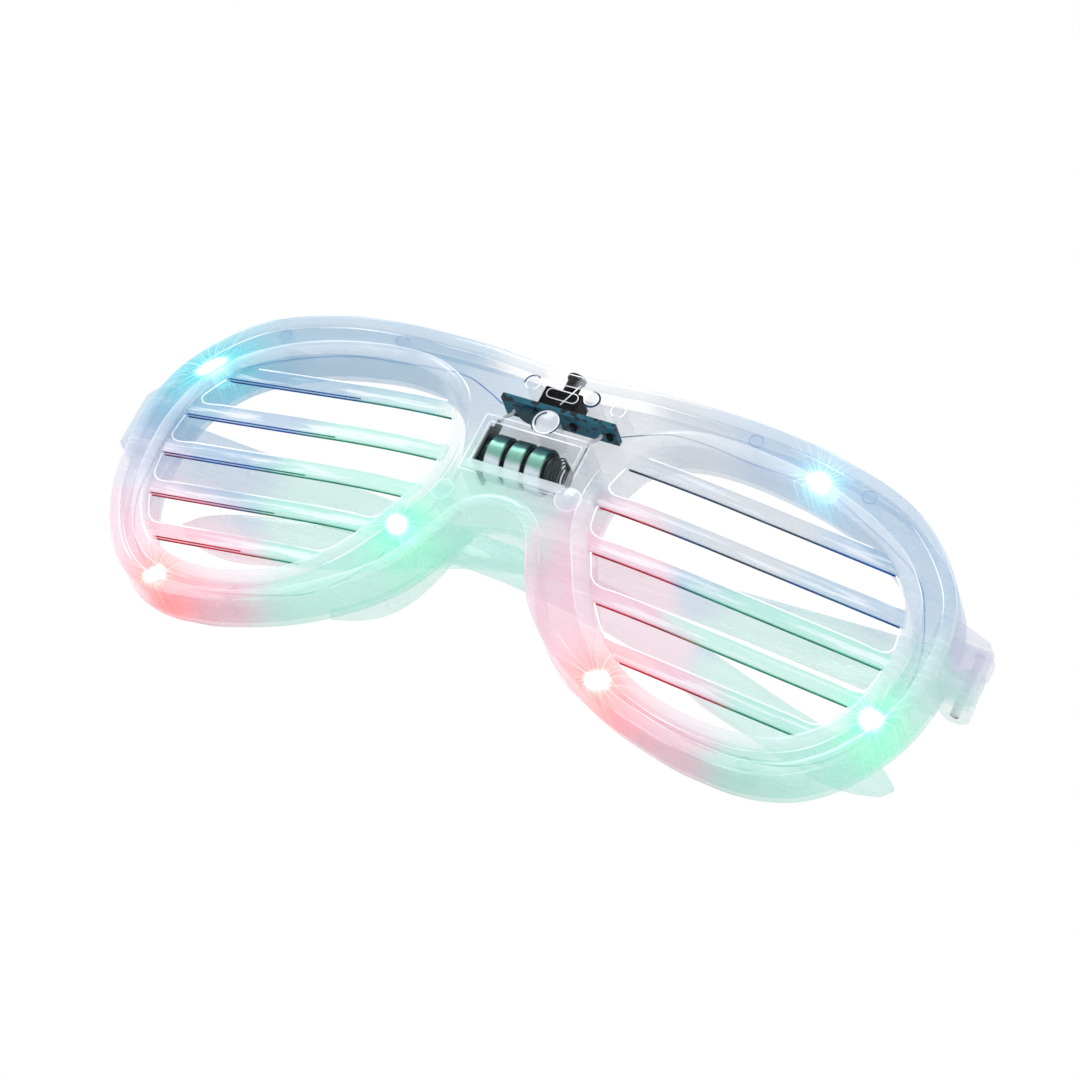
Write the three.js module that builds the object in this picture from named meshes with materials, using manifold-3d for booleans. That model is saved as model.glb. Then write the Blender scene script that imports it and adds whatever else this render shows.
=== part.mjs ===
// Light-up party glasses with slats in place of lenses, temples folded behind the front.
// Millimetres. The front faces -Y, X runs to the right as seen from ahead, and Z is up from the rim's
// feet. Two clear shells close on each other and hold the lamps, the leads, the board, the switch and
// the battery box.

import * as THREE from 'three';
import { mergeVertices } from 'three/addons/utils/BufferGeometryUtils.js';
import Module from 'manifold-3d';

const wasm = await Module();
wasm.setup();

// Front, seen from ahead. The outline runs from the top middle round the right side to the nose arch.
const frontHalfWidth = 73.9;
const frontHeight = 57.9;
const outlineShares = [
  [0.000, 0.953], [0.108, 0.964], [0.189, 0.976], [0.298, 0.986], [0.433, 0.997], [0.555, 1.000],
  [0.654, 0.986], [0.737, 0.967], [0.812, 0.933], [0.881, 0.874], [0.936, 0.803], [0.974, 0.729],
  [0.995, 0.639], [1.000, 0.535], [0.992, 0.432], [0.973, 0.328], [0.936, 0.225], [0.886, 0.133],
  [0.823, 0.060], [0.748, 0.017], [0.670, 0.000], [0.582, 0.000], [0.494, 0.016], [0.411, 0.040],
  [0.332, 0.078], [0.264, 0.126], [0.206, 0.180], [0.160, 0.242], [0.126, 0.311], [0.097, 0.389],
  [0.073, 0.449], [0.043, 0.478], [0.000, 0.489],
];
const openingShares = [
  [0.194, 0.553], [0.192, 0.639], [0.206, 0.718], [0.238, 0.796], [0.310, 0.850], [0.406, 0.872],
  [0.514, 0.872], [0.622, 0.857], [0.731, 0.817], [0.812, 0.760], [0.869, 0.677], [0.896, 0.570],
  [0.897, 0.449], [0.877, 0.337], [0.836, 0.235], [0.777, 0.161], [0.700, 0.119], [0.610, 0.105],
  [0.521, 0.112], [0.442, 0.138], [0.382, 0.180], [0.327, 0.242], [0.276, 0.328], [0.233, 0.432],
  [0.206, 0.501],
];
const outlineSteps = 84;
const openingSteps = 42;

// Wrap of the front round the face: an arc in the middle, then straight on either side
const wrapRadius = 150;
const wrapArcHalfWidth = 34;
const wrapArcSteps = 8;

// Shells, with every depth counted back from the wrapped face
const shellWall = 1.2;
const frontShellDepth = 6.9;
const clearance = 0.3;
const borderWidth = 2.3;
const borderHeight = 0.65;
const ringWidth = 2.6;
const ringHeight = 1.0;
const cutOverrun = 4;

// Skirt along the nose arch, between two shares of the half width and up to a share of the height
const flangeThickness = 1.5;
const flangeDepth = 4.0;
const flangeInnerShare = 0.074;
const flangeOuterShare = 0.311;
const flangeTopShare = 0.458;
const flangeSteps = 8;

// Slats, five to an opening
const slatCount = 5;
const slatPitchShare = 0.1382;
const slatHeight = 2.8;
const slatNear = 0.4;
const slatDepth = 1.0;
const lowestSlatShare = 0.179;

// Hinges: a knuckle on each temple turns between two prongs of the back shell
const hingeOutset = 1.1;
const hingeStandoff = 3.2;
const hingeHeightShare = 0.587;
const knuckleRadius = 2.4;
const knuckleHeight = 4.2;
const prongRadius = 2.6;
const prongHeight = 3.0;
const pinRadius = 0.8;
const pinHeadRadius = 1.4;
const pinHeadHeight = 0.6;
const earOutset = 3.0;
const earInset = 4.0;
const earSetback = 3.9;
const earBite = 0.4;

// Temples: distances from the hinge as shares of the length, heights as shares of the height at the hinge
const templeLength = 138.3;
const templeRootHeight = 11.2;
const templeThickness = 2.4;
const templeTopShares = [
  [0.289, 0.464], [0.506, 0.464], [0.607, 0.400], [0.658, 0.260], [0.709, 0.090], [0.752, -0.060],
  [0.795, -0.200], [0.846, -0.360], [0.897, -0.490], [0.940, -0.600], [0.978, -0.780], [1.000, -1.000],
];
const templeBottomShares = [
  [0.988, -1.161], [0.959, -1.259], [0.926, -1.295], [0.893, -1.240], [0.853, -1.130], [0.803, -0.985],
  [0.765, -0.875], [0.747, -0.815], [0.729, -0.725], [0.701, -0.580], [0.660, -0.420], [0.627, -0.306],
  [0.596, -0.235], [0.550, -0.160], [0.500, -0.110], [0.448, -0.080], [0.376, -0.110], [0.289, -0.200],
  [0.202, -0.320], [0.101, -0.464],
];
const templeRootTopShare = 0.464;
const templeRootBottomShare = -0.536;
const templeRootGap = 0.7;
const templeEdgeSteps = 24;
const leftFoldAngle = 12;
const rightFoldAngle = 0;
const leftLift = 1.6;
const rightDroop = 0.9;

// Battery box on the bridge, open to the front plate, with three button cells in a row along X
const cellRadius = 3.95;
const cellLength = 3.6;
const cellCanLength = 2.8;
const cellCapRadius = 3.1;
const cellCount = 3;
const cellGap = 0.1;
const boxWall = 1.15;
const boxCentreShare = -0.0196;
const contactThickness = 0.4;
const contactPlateHeight = 7.2;
const contactPadRadius = 3.0;
const contactPadDepth = 0.9;
const contactTabWidth = 2.0;
const springWire = 0.4;
const springCurls = 4;
const springLength = 2.9;
const springWideRadius = 3.4;
const springNarrowRadius = 1.3;
const springEndRoom = 1.0;
const springStepsPerCurl = 8;
const springSides = 5;
const springTailSteps = 3;
const doorThickness = 1.2;
const doorTabLength = 4.2;
const doorCornerRadius = 1.5;
const doorCornerSteps = 4;
const boxBelowBoss = 1.15;
const batteryLeadSteps = 8;
const batteryLeadSpread = 1.2;

// Bosses of the back shell, and the pegs of the front shell that are pressed into them
const bossRadius = 2.1;
const leftBossRadius = 1.8;
const bossPegRadius = 0.9;
const bossPegLength = 3.6;
const topBossXShare = -0.0095;
const rightBossXShare = 0.123;
const rightBossZShare = 0.587;
const leftBossXShare = -0.158;
const leftBossZShare = 0.511;

// The door's screw and its boss
const screwRadius = 0.85;
const doorScrewHeadRadius = 1.6;
const doorScrewHeadHeight = 0.8;
const doorBossRadius = 1.7;
const doorBossLength = 3.2;
const doorScrewRise = 1.2;

// Circuit board, switch and button on the bridge
const boardHalfLength = 10.3;
const boardThickness = 1.0;
const switchWidth = 6.6;
const switchHeight = 3.5;
const switchRoof = 0.9;
const switchDepth = 4.4;
const buttonXShare = -0.011;
const buttonDepth = 4.4;
const switchBoreDepth = 2.6;
const stemRadius = 1.3;
const stemSink = 1.0;
const capRadius = 1.6;
const capHeight = 0.6;
const buttonLift = 1.3;
const controllerRadius = 2.0;
const controllerHeight = 0.9;
const controllerX = -5.3;
const resistorLength = 1.6;
const resistorWidth = 0.8;
const resistorHeight = 0.5;
const resistorXs = [2.6, 9.2];
const solderGap = 0.1;

// Pillars behind the bridge and posts in the rim channel that hold the leads
const pillarRadius = 1.3;
const pillarShares = [[-0.078, 0.900], [0.066, 0.900], [0.135, 0.890]];
const postRadius = 1.1;
const postShares = [
  [-0.747, 0.908], [-0.440, 0.948], [-0.514, 0.045], [0.440, 0.948], [0.708, 0.919], [0.723, 0.047],
];

// Lamps: domes that face the front plate, placed by shares of the front's half width and height
const lampRadius = 1.5;
const lampFlangeRadius = 1.75;
const lampFlangeLength = 0.8;
const lampLength = 4.4;
const lampColours = [0x49d6e8, 0xff4a5a, 0x4fe07c, 0x5a86ff, 0xff4a5a, 0x4fe07c];
const lampShares = [
  [-0.889, 0.782], [-0.729, 0.073], [-0.206, 0.378], [0.601, 0.920], [0.375, 0.117], [0.920, 0.321],
];

// Leads to the lamps, half way back in the rim channel, from the board's left end and right end
const leadRadius = 0.3;
const leadDepth = 4.0;
const leadSides = 6;
const leadRouteShares = [
  [[-0.146, 0.843], [-0.189, 0.870], [-0.257, 0.903], [-0.352, 0.910], [-0.447, 0.908], [-0.555, 0.908],
    [-0.677, 0.881], [-0.771, 0.845], [-0.832, 0.815], [-0.862, 0.798]],
  [[-0.907, 0.753], [-0.928, 0.691], [-0.936, 0.622], [-0.939, 0.535], [-0.936, 0.449], [-0.926, 0.337],
    [-0.888, 0.230], [-0.836, 0.154], [-0.785, 0.109], [-0.756, 0.088]],
  [[-0.701, 0.073], [-0.609, 0.067], [-0.514, 0.079], [-0.447, 0.092], [-0.365, 0.116], [-0.281, 0.197],
    [-0.238, 0.276], [-0.217, 0.340]],
  [[0.146, 0.843], [0.189, 0.870], [0.250, 0.902], [0.338, 0.910], [0.440, 0.907], [0.514, 0.912],
    [0.572, 0.915]],
  [[0.629, 0.907], [0.704, 0.870], [0.785, 0.827], [0.866, 0.765], [0.909, 0.665], [0.936, 0.553],
    [0.939, 0.449], [0.924, 0.359]],
  [[0.909, 0.285], [0.885, 0.225], [0.839, 0.155], [0.778, 0.107], [0.723, 0.086], [0.622, 0.067],
    [0.514, 0.076], [0.447, 0.093], [0.403, 0.111]],
];
const leadStepLength = 3.2;

// Round pieces are faceted in this many sides
const roundSides = 16;
const lampSides = 12;
const lampRings = 4;

// Colours and finishes
const clearPlastic = new THREE.MeshStandardMaterial({
  color: 0xdfe7ee, roughness: 0.12, metalness: 0, transparent: true, opacity: 0.35,
});
const templePlastic = new THREE.MeshStandardMaterial({
  color: 0xe4eaee, roughness: 0.15, metalness: 0, transparent: true, opacity: 0.45,
});
const steel = new THREE.MeshStandardMaterial({ color: 0x9aa09c, roughness: 0.3, metalness: 0.9 });
const darkSteel = new THREE.MeshStandardMaterial({ color: 0x4a4e50, roughness: 0.35, metalness: 0.8 });
const boardGreen = new THREE.MeshStandardMaterial({ color: 0x1f4a4c, roughness: 0.5, metalness: 0 });
const blackPlastic = new THREE.MeshStandardMaterial({ color: 0x1a1b1d, roughness: 0.4, metalness: 0 });
const wireInsulation = new THREE.MeshStandardMaterial({ color: 0x6b5a5e, roughness: 0.5, metalness: 0 });

// Places worked out from the sizes above
const wrapArcAngle = Math.asin(wrapArcHalfWidth / wrapRadius);
const backPlateNear = frontShellDepth + clearance;
const backPlateFar = backPlateNear + shellWall;
const hingeX = frontHalfWidth + hingeOutset;
const earReach = hingeX + earOutset;
const hingeY = wrap(hingeX) + backPlateFar + hingeStandoff;
const hingeZ = hingeHeightShare * frontHeight;
const hingeBottom = hingeZ - knuckleHeight / 2 - clearance - prongHeight;
const hingeTop = hingeZ + knuckleHeight / 2 + clearance + prongHeight;
const templeRoot = prongRadius + templeRootGap;

const boardNear = shellWall + wrap(boardHalfLength) + clearance;
const boardFar = backPlateNear - clearance;
const topWallUnder = outlineShares[0][1] * frontHeight - shellWall;
const switchTop = topWallUnder - switchRoof;
const switchBottom = switchTop - switchHeight;
const boardTop = switchBottom;
const boardBottom = boardTop - boardThickness;
const topBossZ = boardBottom - clearance - bossRadius;
const boxTop = topBossZ - boxBelowBoss;
const boxHeight = 2 * (cellRadius + clearance + boxWall);
const boxBottom = boxTop - boxHeight;
const cellZ = boxTop - boxHeight / 2;

const cellRowLength = cellCount * cellLength + (cellCount - 1) * cellGap;
const boxInnerLength = clearance + contactThickness + contactPadDepth + cellGap + cellRowLength + clearance
  + springLength + springEndRoom;
const boxInnerLeft = boxCentreShare * frontHalfWidth - boxInnerLength / 2;
const boxInnerRight = boxInnerLeft + boxInnerLength;
const boxLeft = boxInnerLeft - boxWall;
const boxRight = boxInnerRight + boxWall;
const boxFront = shellWall + wrap(Math.max(-boxLeft, boxRight)) + clearance;
const cellY = shellWall + wrap(boxInnerLeft) + clearance + cellRadius;
const boxBack = cellY + cellRadius + clearance;
const contactPlateX = boxInnerLeft + clearance + contactThickness / 2;
const firstCellX = contactPlateX + contactThickness / 2 + contactPadDepth + cellGap;
const springStartX = firstCellX + cellRowLength + clearance + springWire / 2;
const springEndX = boxInnerRight - springEndRoom - springWire / 2;
const springTailX = boxInnerRight - clearance - springWire / 2;
const contactTop = boxTop + clearance;
const contactY = (boardNear + boardFar) / 2;

const doorNear = boxBack + clearance;
const doorScrewX = boxRight + doorBossRadius - clearance;
const doorScrewZ = cellZ + doorScrewRise;
const bosses = [
  { x: topBossXShare * frontHalfWidth, z: topBossZ, radius: bossRadius },
  { x: rightBossXShare * frontHalfWidth, z: rightBossZShare * frontHeight, radius: bossRadius },
  { x: leftBossXShare * frontHalfWidth, z: leftBossZShare * frontHeight, radius: leftBossRadius },
];
const buttonX = buttonXShare * frontHalfWidth;
const pillarReach = switchWidth / 2 + clearance + pillarRadius;
const pillars = scaledShares(pillarShares).map(([x, z]) => (
  { x: buttonX + Math.sign(x) * Math.max(Math.abs(x - buttonX), pillarReach), z, radius: pillarRadius }));

// Helpers for shapes and solids

// How far back the wrapped face lies at a given distance from the middle
function wrap(x) {
  const reach = Math.abs(x);
  if (reach <= wrapArcHalfWidth) return wrapRadius - Math.sqrt(wrapRadius ** 2 - reach ** 2);
  return wrapRadius * (1 - Math.cos(wrapArcAngle)) + (reach - wrapArcHalfWidth) * Math.tan(wrapArcAngle);
}

// Welds a geometry's vertices, drops collapsed triangles and turns the faces outwards
function toSolid(geometry) {
  const bare = geometry.clone();
  bare.deleteAttribute('normal');
  bare.deleteAttribute('uv');
  const welded = mergeVertices(bare);
  const points = welded.attributes.position;
  const corners = welded.index.array;
  const kept = [];
  let volume = 0;
  const [a, b, c] = [new THREE.Vector3(), new THREE.Vector3(), new THREE.Vector3()];
  for (let i = 0; i < corners.length; i += 3) {
    const [p, q, r] = [corners[i], corners[i + 1], corners[i + 2]];
    if (p === q || q === r || r === p) continue;
    kept.push(p, q, r);
    a.fromBufferAttribute(points, p);
    b.fromBufferAttribute(points, q);
    c.fromBufferAttribute(points, r);
    volume += a.dot(b.cross(c));
  }
  if (volume < 0) kept.reverse();
  const vertProperties = Float32Array.from(points.array);
  return new wasm.Manifold(new wasm.Mesh({ numProp: 3, vertProperties, triVerts: Uint32Array.from(kept) }));
}

function joined(solids) {
  return solids.reduce((whole, solid) => whole.add(solid));
}

function cut(solid, tools) {
  return tools.reduce((rest, tool) => rest.subtract(tool), solid);
}

function toGeometry(solid) {
  const mesh = solid.getMesh();
  const geometry = new THREE.BufferGeometry();
  geometry.setAttribute('position', new THREE.BufferAttribute(mesh.vertProperties, 3));
  geometry.setIndex(new THREE.BufferAttribute(mesh.triVerts, 1));
  geometry.computeVertexNormals();
  return geometry;
}

function named(name, solid, material) {
  const mesh = new THREE.Mesh(toGeometry(solid), material);
  mesh.name = name;
  return mesh;
}

function shapeOf(points) {
  return new THREE.Shape(points.map(([x, y]) => new THREE.Vector2(x, y)));
}

// A loop seen from ahead, as [x, z] points, drawn out along Y
function frontal(loop, near, far) {
  const geometry = new THREE.ExtrudeGeometry(shapeOf(loop), { depth: far - near, bevelEnabled: false });
  geometry.rotateX(Math.PI / 2);
  geometry.translate(0, far, 0);
  return toSolid(geometry);
}

// An outline seen from above, as [x, y] points, drawn up along Z
function upright(outline, low, high) {
  const geometry = new THREE.ExtrudeGeometry(shapeOf(outline), { depth: high - low, bevelEnabled: false });
  geometry.translate(0, 0, low);
  return toSolid(geometry);
}

function block(left, right, near, far, low, high) {
  const geometry = new THREE.BoxGeometry(right - left, far - near, high - low);
  geometry.translate((left + right) / 2, (near + far) / 2, (low + high) / 2);
  return toSolid(geometry);
}

function cylinderAlongY(x, z, radius, near, far) {
  const geometry = new THREE.CylinderGeometry(radius, radius, far - near, roundSides);
  geometry.translate(x, (near + far) / 2, z);
  return toSolid(geometry);
}

function cylinderAlongZ(x, y, radius, low, high) {
  const geometry = new THREE.CylinderGeometry(radius, radius, high - low, roundSides);
  geometry.rotateX(Math.PI / 2);
  geometry.translate(x, y, (low + high) / 2);
  return toSolid(geometry);
}

// A closed smooth loop through hand-placed points, sampled at even steps
function smoothLoop(points, steps) {
  const curve = new THREE.CatmullRomCurve3(points.map(([x, z]) => new THREE.Vector3(x, 0, z)), true);
  return curve.getSpacedPoints(steps).slice(0, steps).map((point) => [point.x, Math.max(point.z, 0)]);
}

function scaledShares(shares) {
  return shares.map(([across, up]) => [across * frontHalfWidth, up * frontHeight]);
}

function mirrored(loop) {
  return loop.map(([x, z]) => [-x, z]).reverse();
}

function loopArea(loop) {
  return loop.reduce((sum, [x, z], i) => {
    const [nextX, nextZ] = loop[(i + 1) % loop.length];
    return sum + (x * nextZ - nextX * z) / 2;
  }, 0);
}

// The same loop moved outwards by a distance, or inwards where the distance is negative
function offsetLoop(loop, distance) {
  const turn = Math.sign(loopArea(loop));
  return loop.map(([x, z], i) => {
    const [beforeX, beforeZ] = loop[(i + loop.length - 1) % loop.length];
    const [afterX, afterZ] = loop[(i + 1) % loop.length];
    const inLength = Math.hypot(x - beforeX, z - beforeZ);
    const outLength = Math.hypot(afterX - x, afterZ - z);
    const inNormal = [(z - beforeZ) / inLength, (beforeX - x) / inLength];
    const outNormal = [(afterZ - z) / outLength, (x - afterX) / outLength];
    const sum = [inNormal[0] + outNormal[0], inNormal[1] + outNormal[1]];
    const reach = (2 * distance * turn) / (sum[0] ** 2 + sum[1] ** 2);
    return [x + sum[0] * reach, z + sum[1] * reach];
  });
}

// The wrapped face seen from above, as points from left to right
function wrapLine(depth, reach) {
  const line = [[-reach, wrap(reach) + depth]];
  for (let i = 0; i <= wrapArcSteps; i += 1) {
    const x = wrapArcHalfWidth * (2 * i / wrapArcSteps - 1);
    line.push([x, wrap(x) + depth]);
  }
  line.push([reach, wrap(reach) + depth]);
  return line;
}

// Everything between two depths behind the wrapped face
const bandReach = earReach + cutOverrun;
const bandHeight = frontHeight + cutOverrun;
function band(near, far) {
  const outline = [...wrapLine(near, bandReach), ...wrapLine(far, bandReach).reverse()];
  return upright(outline, -cutOverrun, bandHeight);
}

const prismNear = -cutOverrun;
const prismFar = wrap(bandReach) + backPlateFar + cutOverrun;
function prism(loop) {
  return frontal(loop, prismNear, prismFar);
}

// Loops of the front
const outlineHalf = scaledShares(outlineShares);
const rimPoints = [...outlineHalf, ...mirrored(outlineHalf).slice(1, -1)];
const rim = smoothLoop(rimPoints, outlineSteps);
const rightOpening = smoothLoop(scaledShares(openingShares), openingSteps);
const openings = [mirrored(rightOpening), rightOpening];
const rimPrism = prism(rim);
const openingPrisms = openings.map(prism);

// Front shell
function frontShell() {
  const platePrism = cut(rimPrism, openingPrisms);
  const plate = platePrism.intersect(band(0, shellWall));
  const border = rimPrism.subtract(prism(offsetLoop(rim, -borderWidth)));
  const outerWall = rimPrism.subtract(prism(offsetLoop(rim, -shellWall)));
  const rings = openings.map((loop) => prism(offsetLoop(loop, ringWidth)));
  const openingWalls = openings.map((loop) => prism(offsetLoop(loop, shellWall)));
  const solids = [
    plate,
    border.intersect(band(-borderHeight, shellWall)),
    joined(rings).intersect(band(-ringHeight, shellWall)),
    joined([outerWall, ...openingWalls]).intersect(band(0, frontShellDepth)),
  ];
  for (const side of [-1, 1]) solids.push(frontEar(side));
  const posts = scaledShares(postShares).map(([x, z]) => ({ x, z, radius: postRadius }));
  const supports = [...pillars, ...posts].map(({ x, z, radius }) => (
    cylinderAlongY(x, z, radius, prismNear, prismFar)));
  solids.push(joined(supports).intersect(band(shellWall / 2, frontShellDepth)));
  for (const { x, z } of bosses) {
    const face = wrap(x) + shellWall;
    solids.push(cylinderAlongY(x, z, bossPegRadius, face - shellWall / 2, face + bossPegLength));
  }
  const buttonHole = cylinderAlongZ(buttonX, buttonDepth, stemRadius + clearance, topWallUnder - clearance,
    bandHeight);
  return cut(joined(solids), [...openingPrisms, buttonHole]);
}

// The solid block at each end of the front that closes over the hinge
function frontEar(side) {
  const inner = frontHalfWidth - earInset + clearance;
  const tip = wrap(earReach) + earSetback;
  const outline = [
    [side * inner, wrap(inner) + shellWall / 2],
    [side * (frontHalfWidth - earBite), wrap(frontHalfWidth) + earBite],
    [side * earReach, tip],
    [side * earReach, wrap(earReach) + frontShellDepth],
    [side * inner, wrap(inner) + frontShellDepth],
  ];
  return upright(outline, hingeBottom, hingeTop);
}

// Back shell
function backShell() {
  const plate = cut(rimPrism, openingPrisms).intersect(band(backPlateNear, backPlateFar));
  const box = block(boxLeft, boxRight, boxFront, boxBack, boxBottom, boxTop);
  const doorBossNear = boxBack - doorBossLength;
  const doorBoss = cylinderAlongY(doorScrewX, doorScrewZ, doorBossRadius, doorBossNear, boxBack);
  const solids = [plate, box, doorBoss, noseFlange()];
  for (const side of [-1, 1]) solids.push(backEar(side));
  const tubes = bosses.map(({ x, z, radius }) => cylinderAlongY(x, z, radius, prismNear, prismFar));
  solids.push(joined(tubes).intersect(band(shellWall + clearance, backPlateFar)));
  const holes = [
    block(boxInnerLeft, boxInnerRight, prismNear, boxBack + cutOverrun, boxBottom + boxWall,
      boxTop - boxWall),
    contactSlot(contactPlateX, contactThickness, contactTabWidth),
    contactSlot(springTailX, springWire, springWire),
    cylinderAlongY(doorScrewX, doorScrewZ, screwRadius + clearance, doorBossNear + boxWall,
      boxBack + cutOverrun),
  ];
  for (const { x, z } of bosses) {
    holes.push(cylinderAlongY(x, z, bossPegRadius + clearance, prismNear,
      wrap(x) + shellWall + bossPegLength + clearance));
  }
  return cut(joined(solids), holes);
}

// A slot in the box's top wall for a contact that leaves it
function contactSlot(x, thickness, width) {
  const halfX = thickness / 2 + clearance;
  const halfY = width / 2 + clearance;
  const low = boxTop - 2 * boxWall;
  return block(x - halfX, x + halfX, contactY - halfY, contactY + halfY, low, boxTop + boxWall);
}

// The skirt along the nose arch that rests on the nose
function noseFlange() {
  const edge = rimPrism.subtract(prism(offsetLoop(rim, -flangeThickness)));
  const sides = [-1, 1].map((side) => {
    const near = [];
    const far = [];
    for (let i = 0; i <= flangeSteps; i += 1) {
      const share = i / flangeSteps;
      const across = flangeInnerShare + share * (flangeOuterShare - flangeInnerShare);
      const x = side * across * frontHalfWidth;
      near.push([x, wrap(x) + backPlateFar - shellWall / 2]);
      far.push([x, wrap(x) + backPlateFar + flangeDepth * Math.sin(Math.PI * share)]);
    }
    return upright([...near, ...far.reverse()], -cutOverrun, flangeTopShare * frontHeight).intersect(edge);
  });
  return joined(sides);
}

// The back shell's end behind the block, with the two hinge prongs
function backEar(side) {
  const inner = frontHalfWidth - earInset + clearance;
  const reach = earReach;
  const shelf = upright([
    [side * inner, wrap(inner) + backPlateNear],
    [side * reach, wrap(reach) + backPlateNear],
    [side * reach, wrap(reach) + backPlateFar],
    [side * inner, wrap(inner) + backPlateFar],
  ], hingeBottom, hingeTop);
  const x = side * hingeX;
  const heights = [[hingeBottom, hingeBottom + prongHeight], [hingeTop - prongHeight, hingeTop]];
  const root = wrap(hingeX) + backPlateFar - shellWall / 2;
  const prongs = heights.map(([low, high]) => (
    block(x - prongRadius, x + prongRadius, root, hingeY, low, high)
      .add(cylinderAlongZ(x, hingeY, prongRadius, low, high))));
  const bore = cylinderAlongZ(x, hingeY, pinRadius + clearance, hingeBottom - cutOverrun,
    hingeTop + cutOverrun);
  return joined([shelf, ...prongs]).subtract(bore);
}

// Slats, clipped to their opening
function slat(loop, index) {
  const low = (lowestSlatShare + index * slatPitchShare) * frontHeight;
  const bar = block(-frontHalfWidth, frontHalfWidth, prismNear, prismFar, low, low + slatHeight);
  const depths = band(slatNear, slatNear + slatDepth);
  return bar.intersect(prism(offsetLoop(loop, -clearance))).intersect(depths);
}

// One temple along +X from its hinge at the origin, lying in the XZ plane
function temple() {
  const place = ([along, up]) => [along * templeLength, up * templeRootHeight];
  const edge = (shares) => new THREE.SplineCurve(shares.map(place).map(([x, z]) => new THREE.Vector2(x, z)));
  const rootTop = [templeRoot, templeRootTopShare * templeRootHeight];
  const rootBottom = [templeRoot, templeRootBottomShare * templeRootHeight];
  const top = edge(templeTopShares).getSpacedPoints(templeEdgeSteps).map(({ x, y }) => [x, y]);
  const bottom = edge(templeBottomShares).getSpacedPoints(templeEdgeSteps).map(({ x, y }) => [x, y]);
  const side = frontal([rootTop, ...top, ...bottom, rootBottom], -templeThickness / 2, templeThickness / 2);
  const half = knuckleHeight / 2;
  const neck = block(0, templeRoot + shellWall, -templeThickness / 2, templeThickness / 2, -half, half);
  const knuckle = cylinderAlongZ(0, 0, knuckleRadius, -half, half);
  const bore = cylinderAlongZ(0, 0, pinRadius + clearance, -knuckleHeight, knuckleHeight);
  return joined([side, neck, knuckle]).subtract(bore);
}

function hingePin() {
  const headLow = hingeTop + clearance;
  const shank = cylinderAlongZ(0, 0, pinRadius, hingeBottom, headLow + pinHeadHeight / 2);
  const head = cylinderAlongZ(0, 0, pinHeadRadius, headLow, headLow + pinHeadHeight);
  return shank.add(head);
}

// A screw driven in from behind: the head's near face, then the shank towards the front
function screw(x, z, headNear, headRadius, headHeight, length) {
  const shank = cylinderAlongY(x, z, screwRadius, headNear - length, headNear + headHeight / 2);
  return shank.add(cylinderAlongY(x, z, headRadius, headNear, headNear + headHeight));
}

// Button cell: the can, then the smaller cap that faces the spring
function cell(index) {
  const start = firstCellX + index * (cellLength + cellGap);
  const profile = [[0, 0], [cellRadius, 0], [cellRadius, cellCanLength], [cellCapRadius, cellCanLength],
    [cellCapRadius, cellLength], [0, cellLength]];
  const geometry = new THREE.LatheGeometry(profile.map(([r, y]) => new THREE.Vector2(r, y)), roundSides);
  geometry.rotateZ(-Math.PI / 2);
  geometry.translate(start, cellY, cellZ);
  return toSolid(geometry);
}

function contactPlate() {
  const half = contactThickness / 2;
  const plateHalf = contactPlateHeight / 2;
  const plate = block(contactPlateX - half, contactPlateX + half, cellY - plateHalf, cellY + plateHalf,
    cellZ - plateHalf, cellZ + plateHalf);
  const tabHalf = contactTabWidth / 2;
  const tab = block(contactPlateX - half, contactPlateX + half, contactY - tabHalf, contactY + tabHalf,
    cellZ, contactTop);
  const padLength = half + contactPadDepth;
  const pad = new THREE.CylinderGeometry(contactPadRadius, contactPadRadius, padLength, roundSides);
  pad.rotateZ(Math.PI / 2);
  pad.translate(contactPlateX + padLength / 2, cellY, cellZ);
  return joined([plate, tab, toSolid(pad)]);
}

// The spring's centre line: a cone of curls, widest at the last cell, then a tail up through the slot
function springPoints() {
  const points = [];
  const steps = springCurls * springStepsPerCurl;
  for (let i = 0; i <= steps; i += 1) {
    const share = i / steps;
    const angle = share * springCurls * 2 * Math.PI;
    const radius = springWideRadius + share * (springNarrowRadius - springWideRadius);
    const x = springStartX + share * (springEndX - springStartX);
    points.push(new THREE.Vector3(x, cellY + radius * Math.sin(angle), cellZ + radius * Math.cos(angle)));
  }
  const start = points[points.length - 1].clone();
  const bend = new THREE.Vector3(springTailX, contactY, boxTop - boxWall - springWire);
  for (let i = 1; i <= springTailSteps; i += 1) points.push(start.clone().lerp(bend, i / springTailSteps));
  points.push(new THREE.Vector3(springTailX, contactY, (bend.z + contactTop) / 2));
  points.push(new THREE.Vector3(springTailX, contactY, contactTop));
  return points;
}

function tube(curve, steps, radius, sides) {
  const section = [];
  for (let i = 0; i < sides; i += 1) {
    const angle = (i / sides) * 2 * Math.PI;
    section.push([radius * Math.cos(angle), radius * Math.sin(angle)]);
  }
  return new THREE.ExtrudeGeometry(shapeOf(section), { steps, extrudePath: curve });
}

function contactSpring() {
  const points = springPoints();
  return toSolid(tube(new THREE.CatmullRomCurve3(points), points.length - 1, springWire / 2, springSides));
}

// The least gap between the spring's own curls, measured on its centre line
function leastSpringGap() {
  const points = springPoints();
  let least = Infinity;
  for (let i = 0; i < points.length; i += 1) {
    for (let j = i + springStepsPerCurl - 1; j < points.length; j += 1) {
      least = Math.min(least, points[i].distanceTo(points[j]) - springWire);
    }
  }
  return least;
}
console.log(`contact_spring least gap to itself: ${leastSpringGap().toFixed(2)} mm`);

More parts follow.
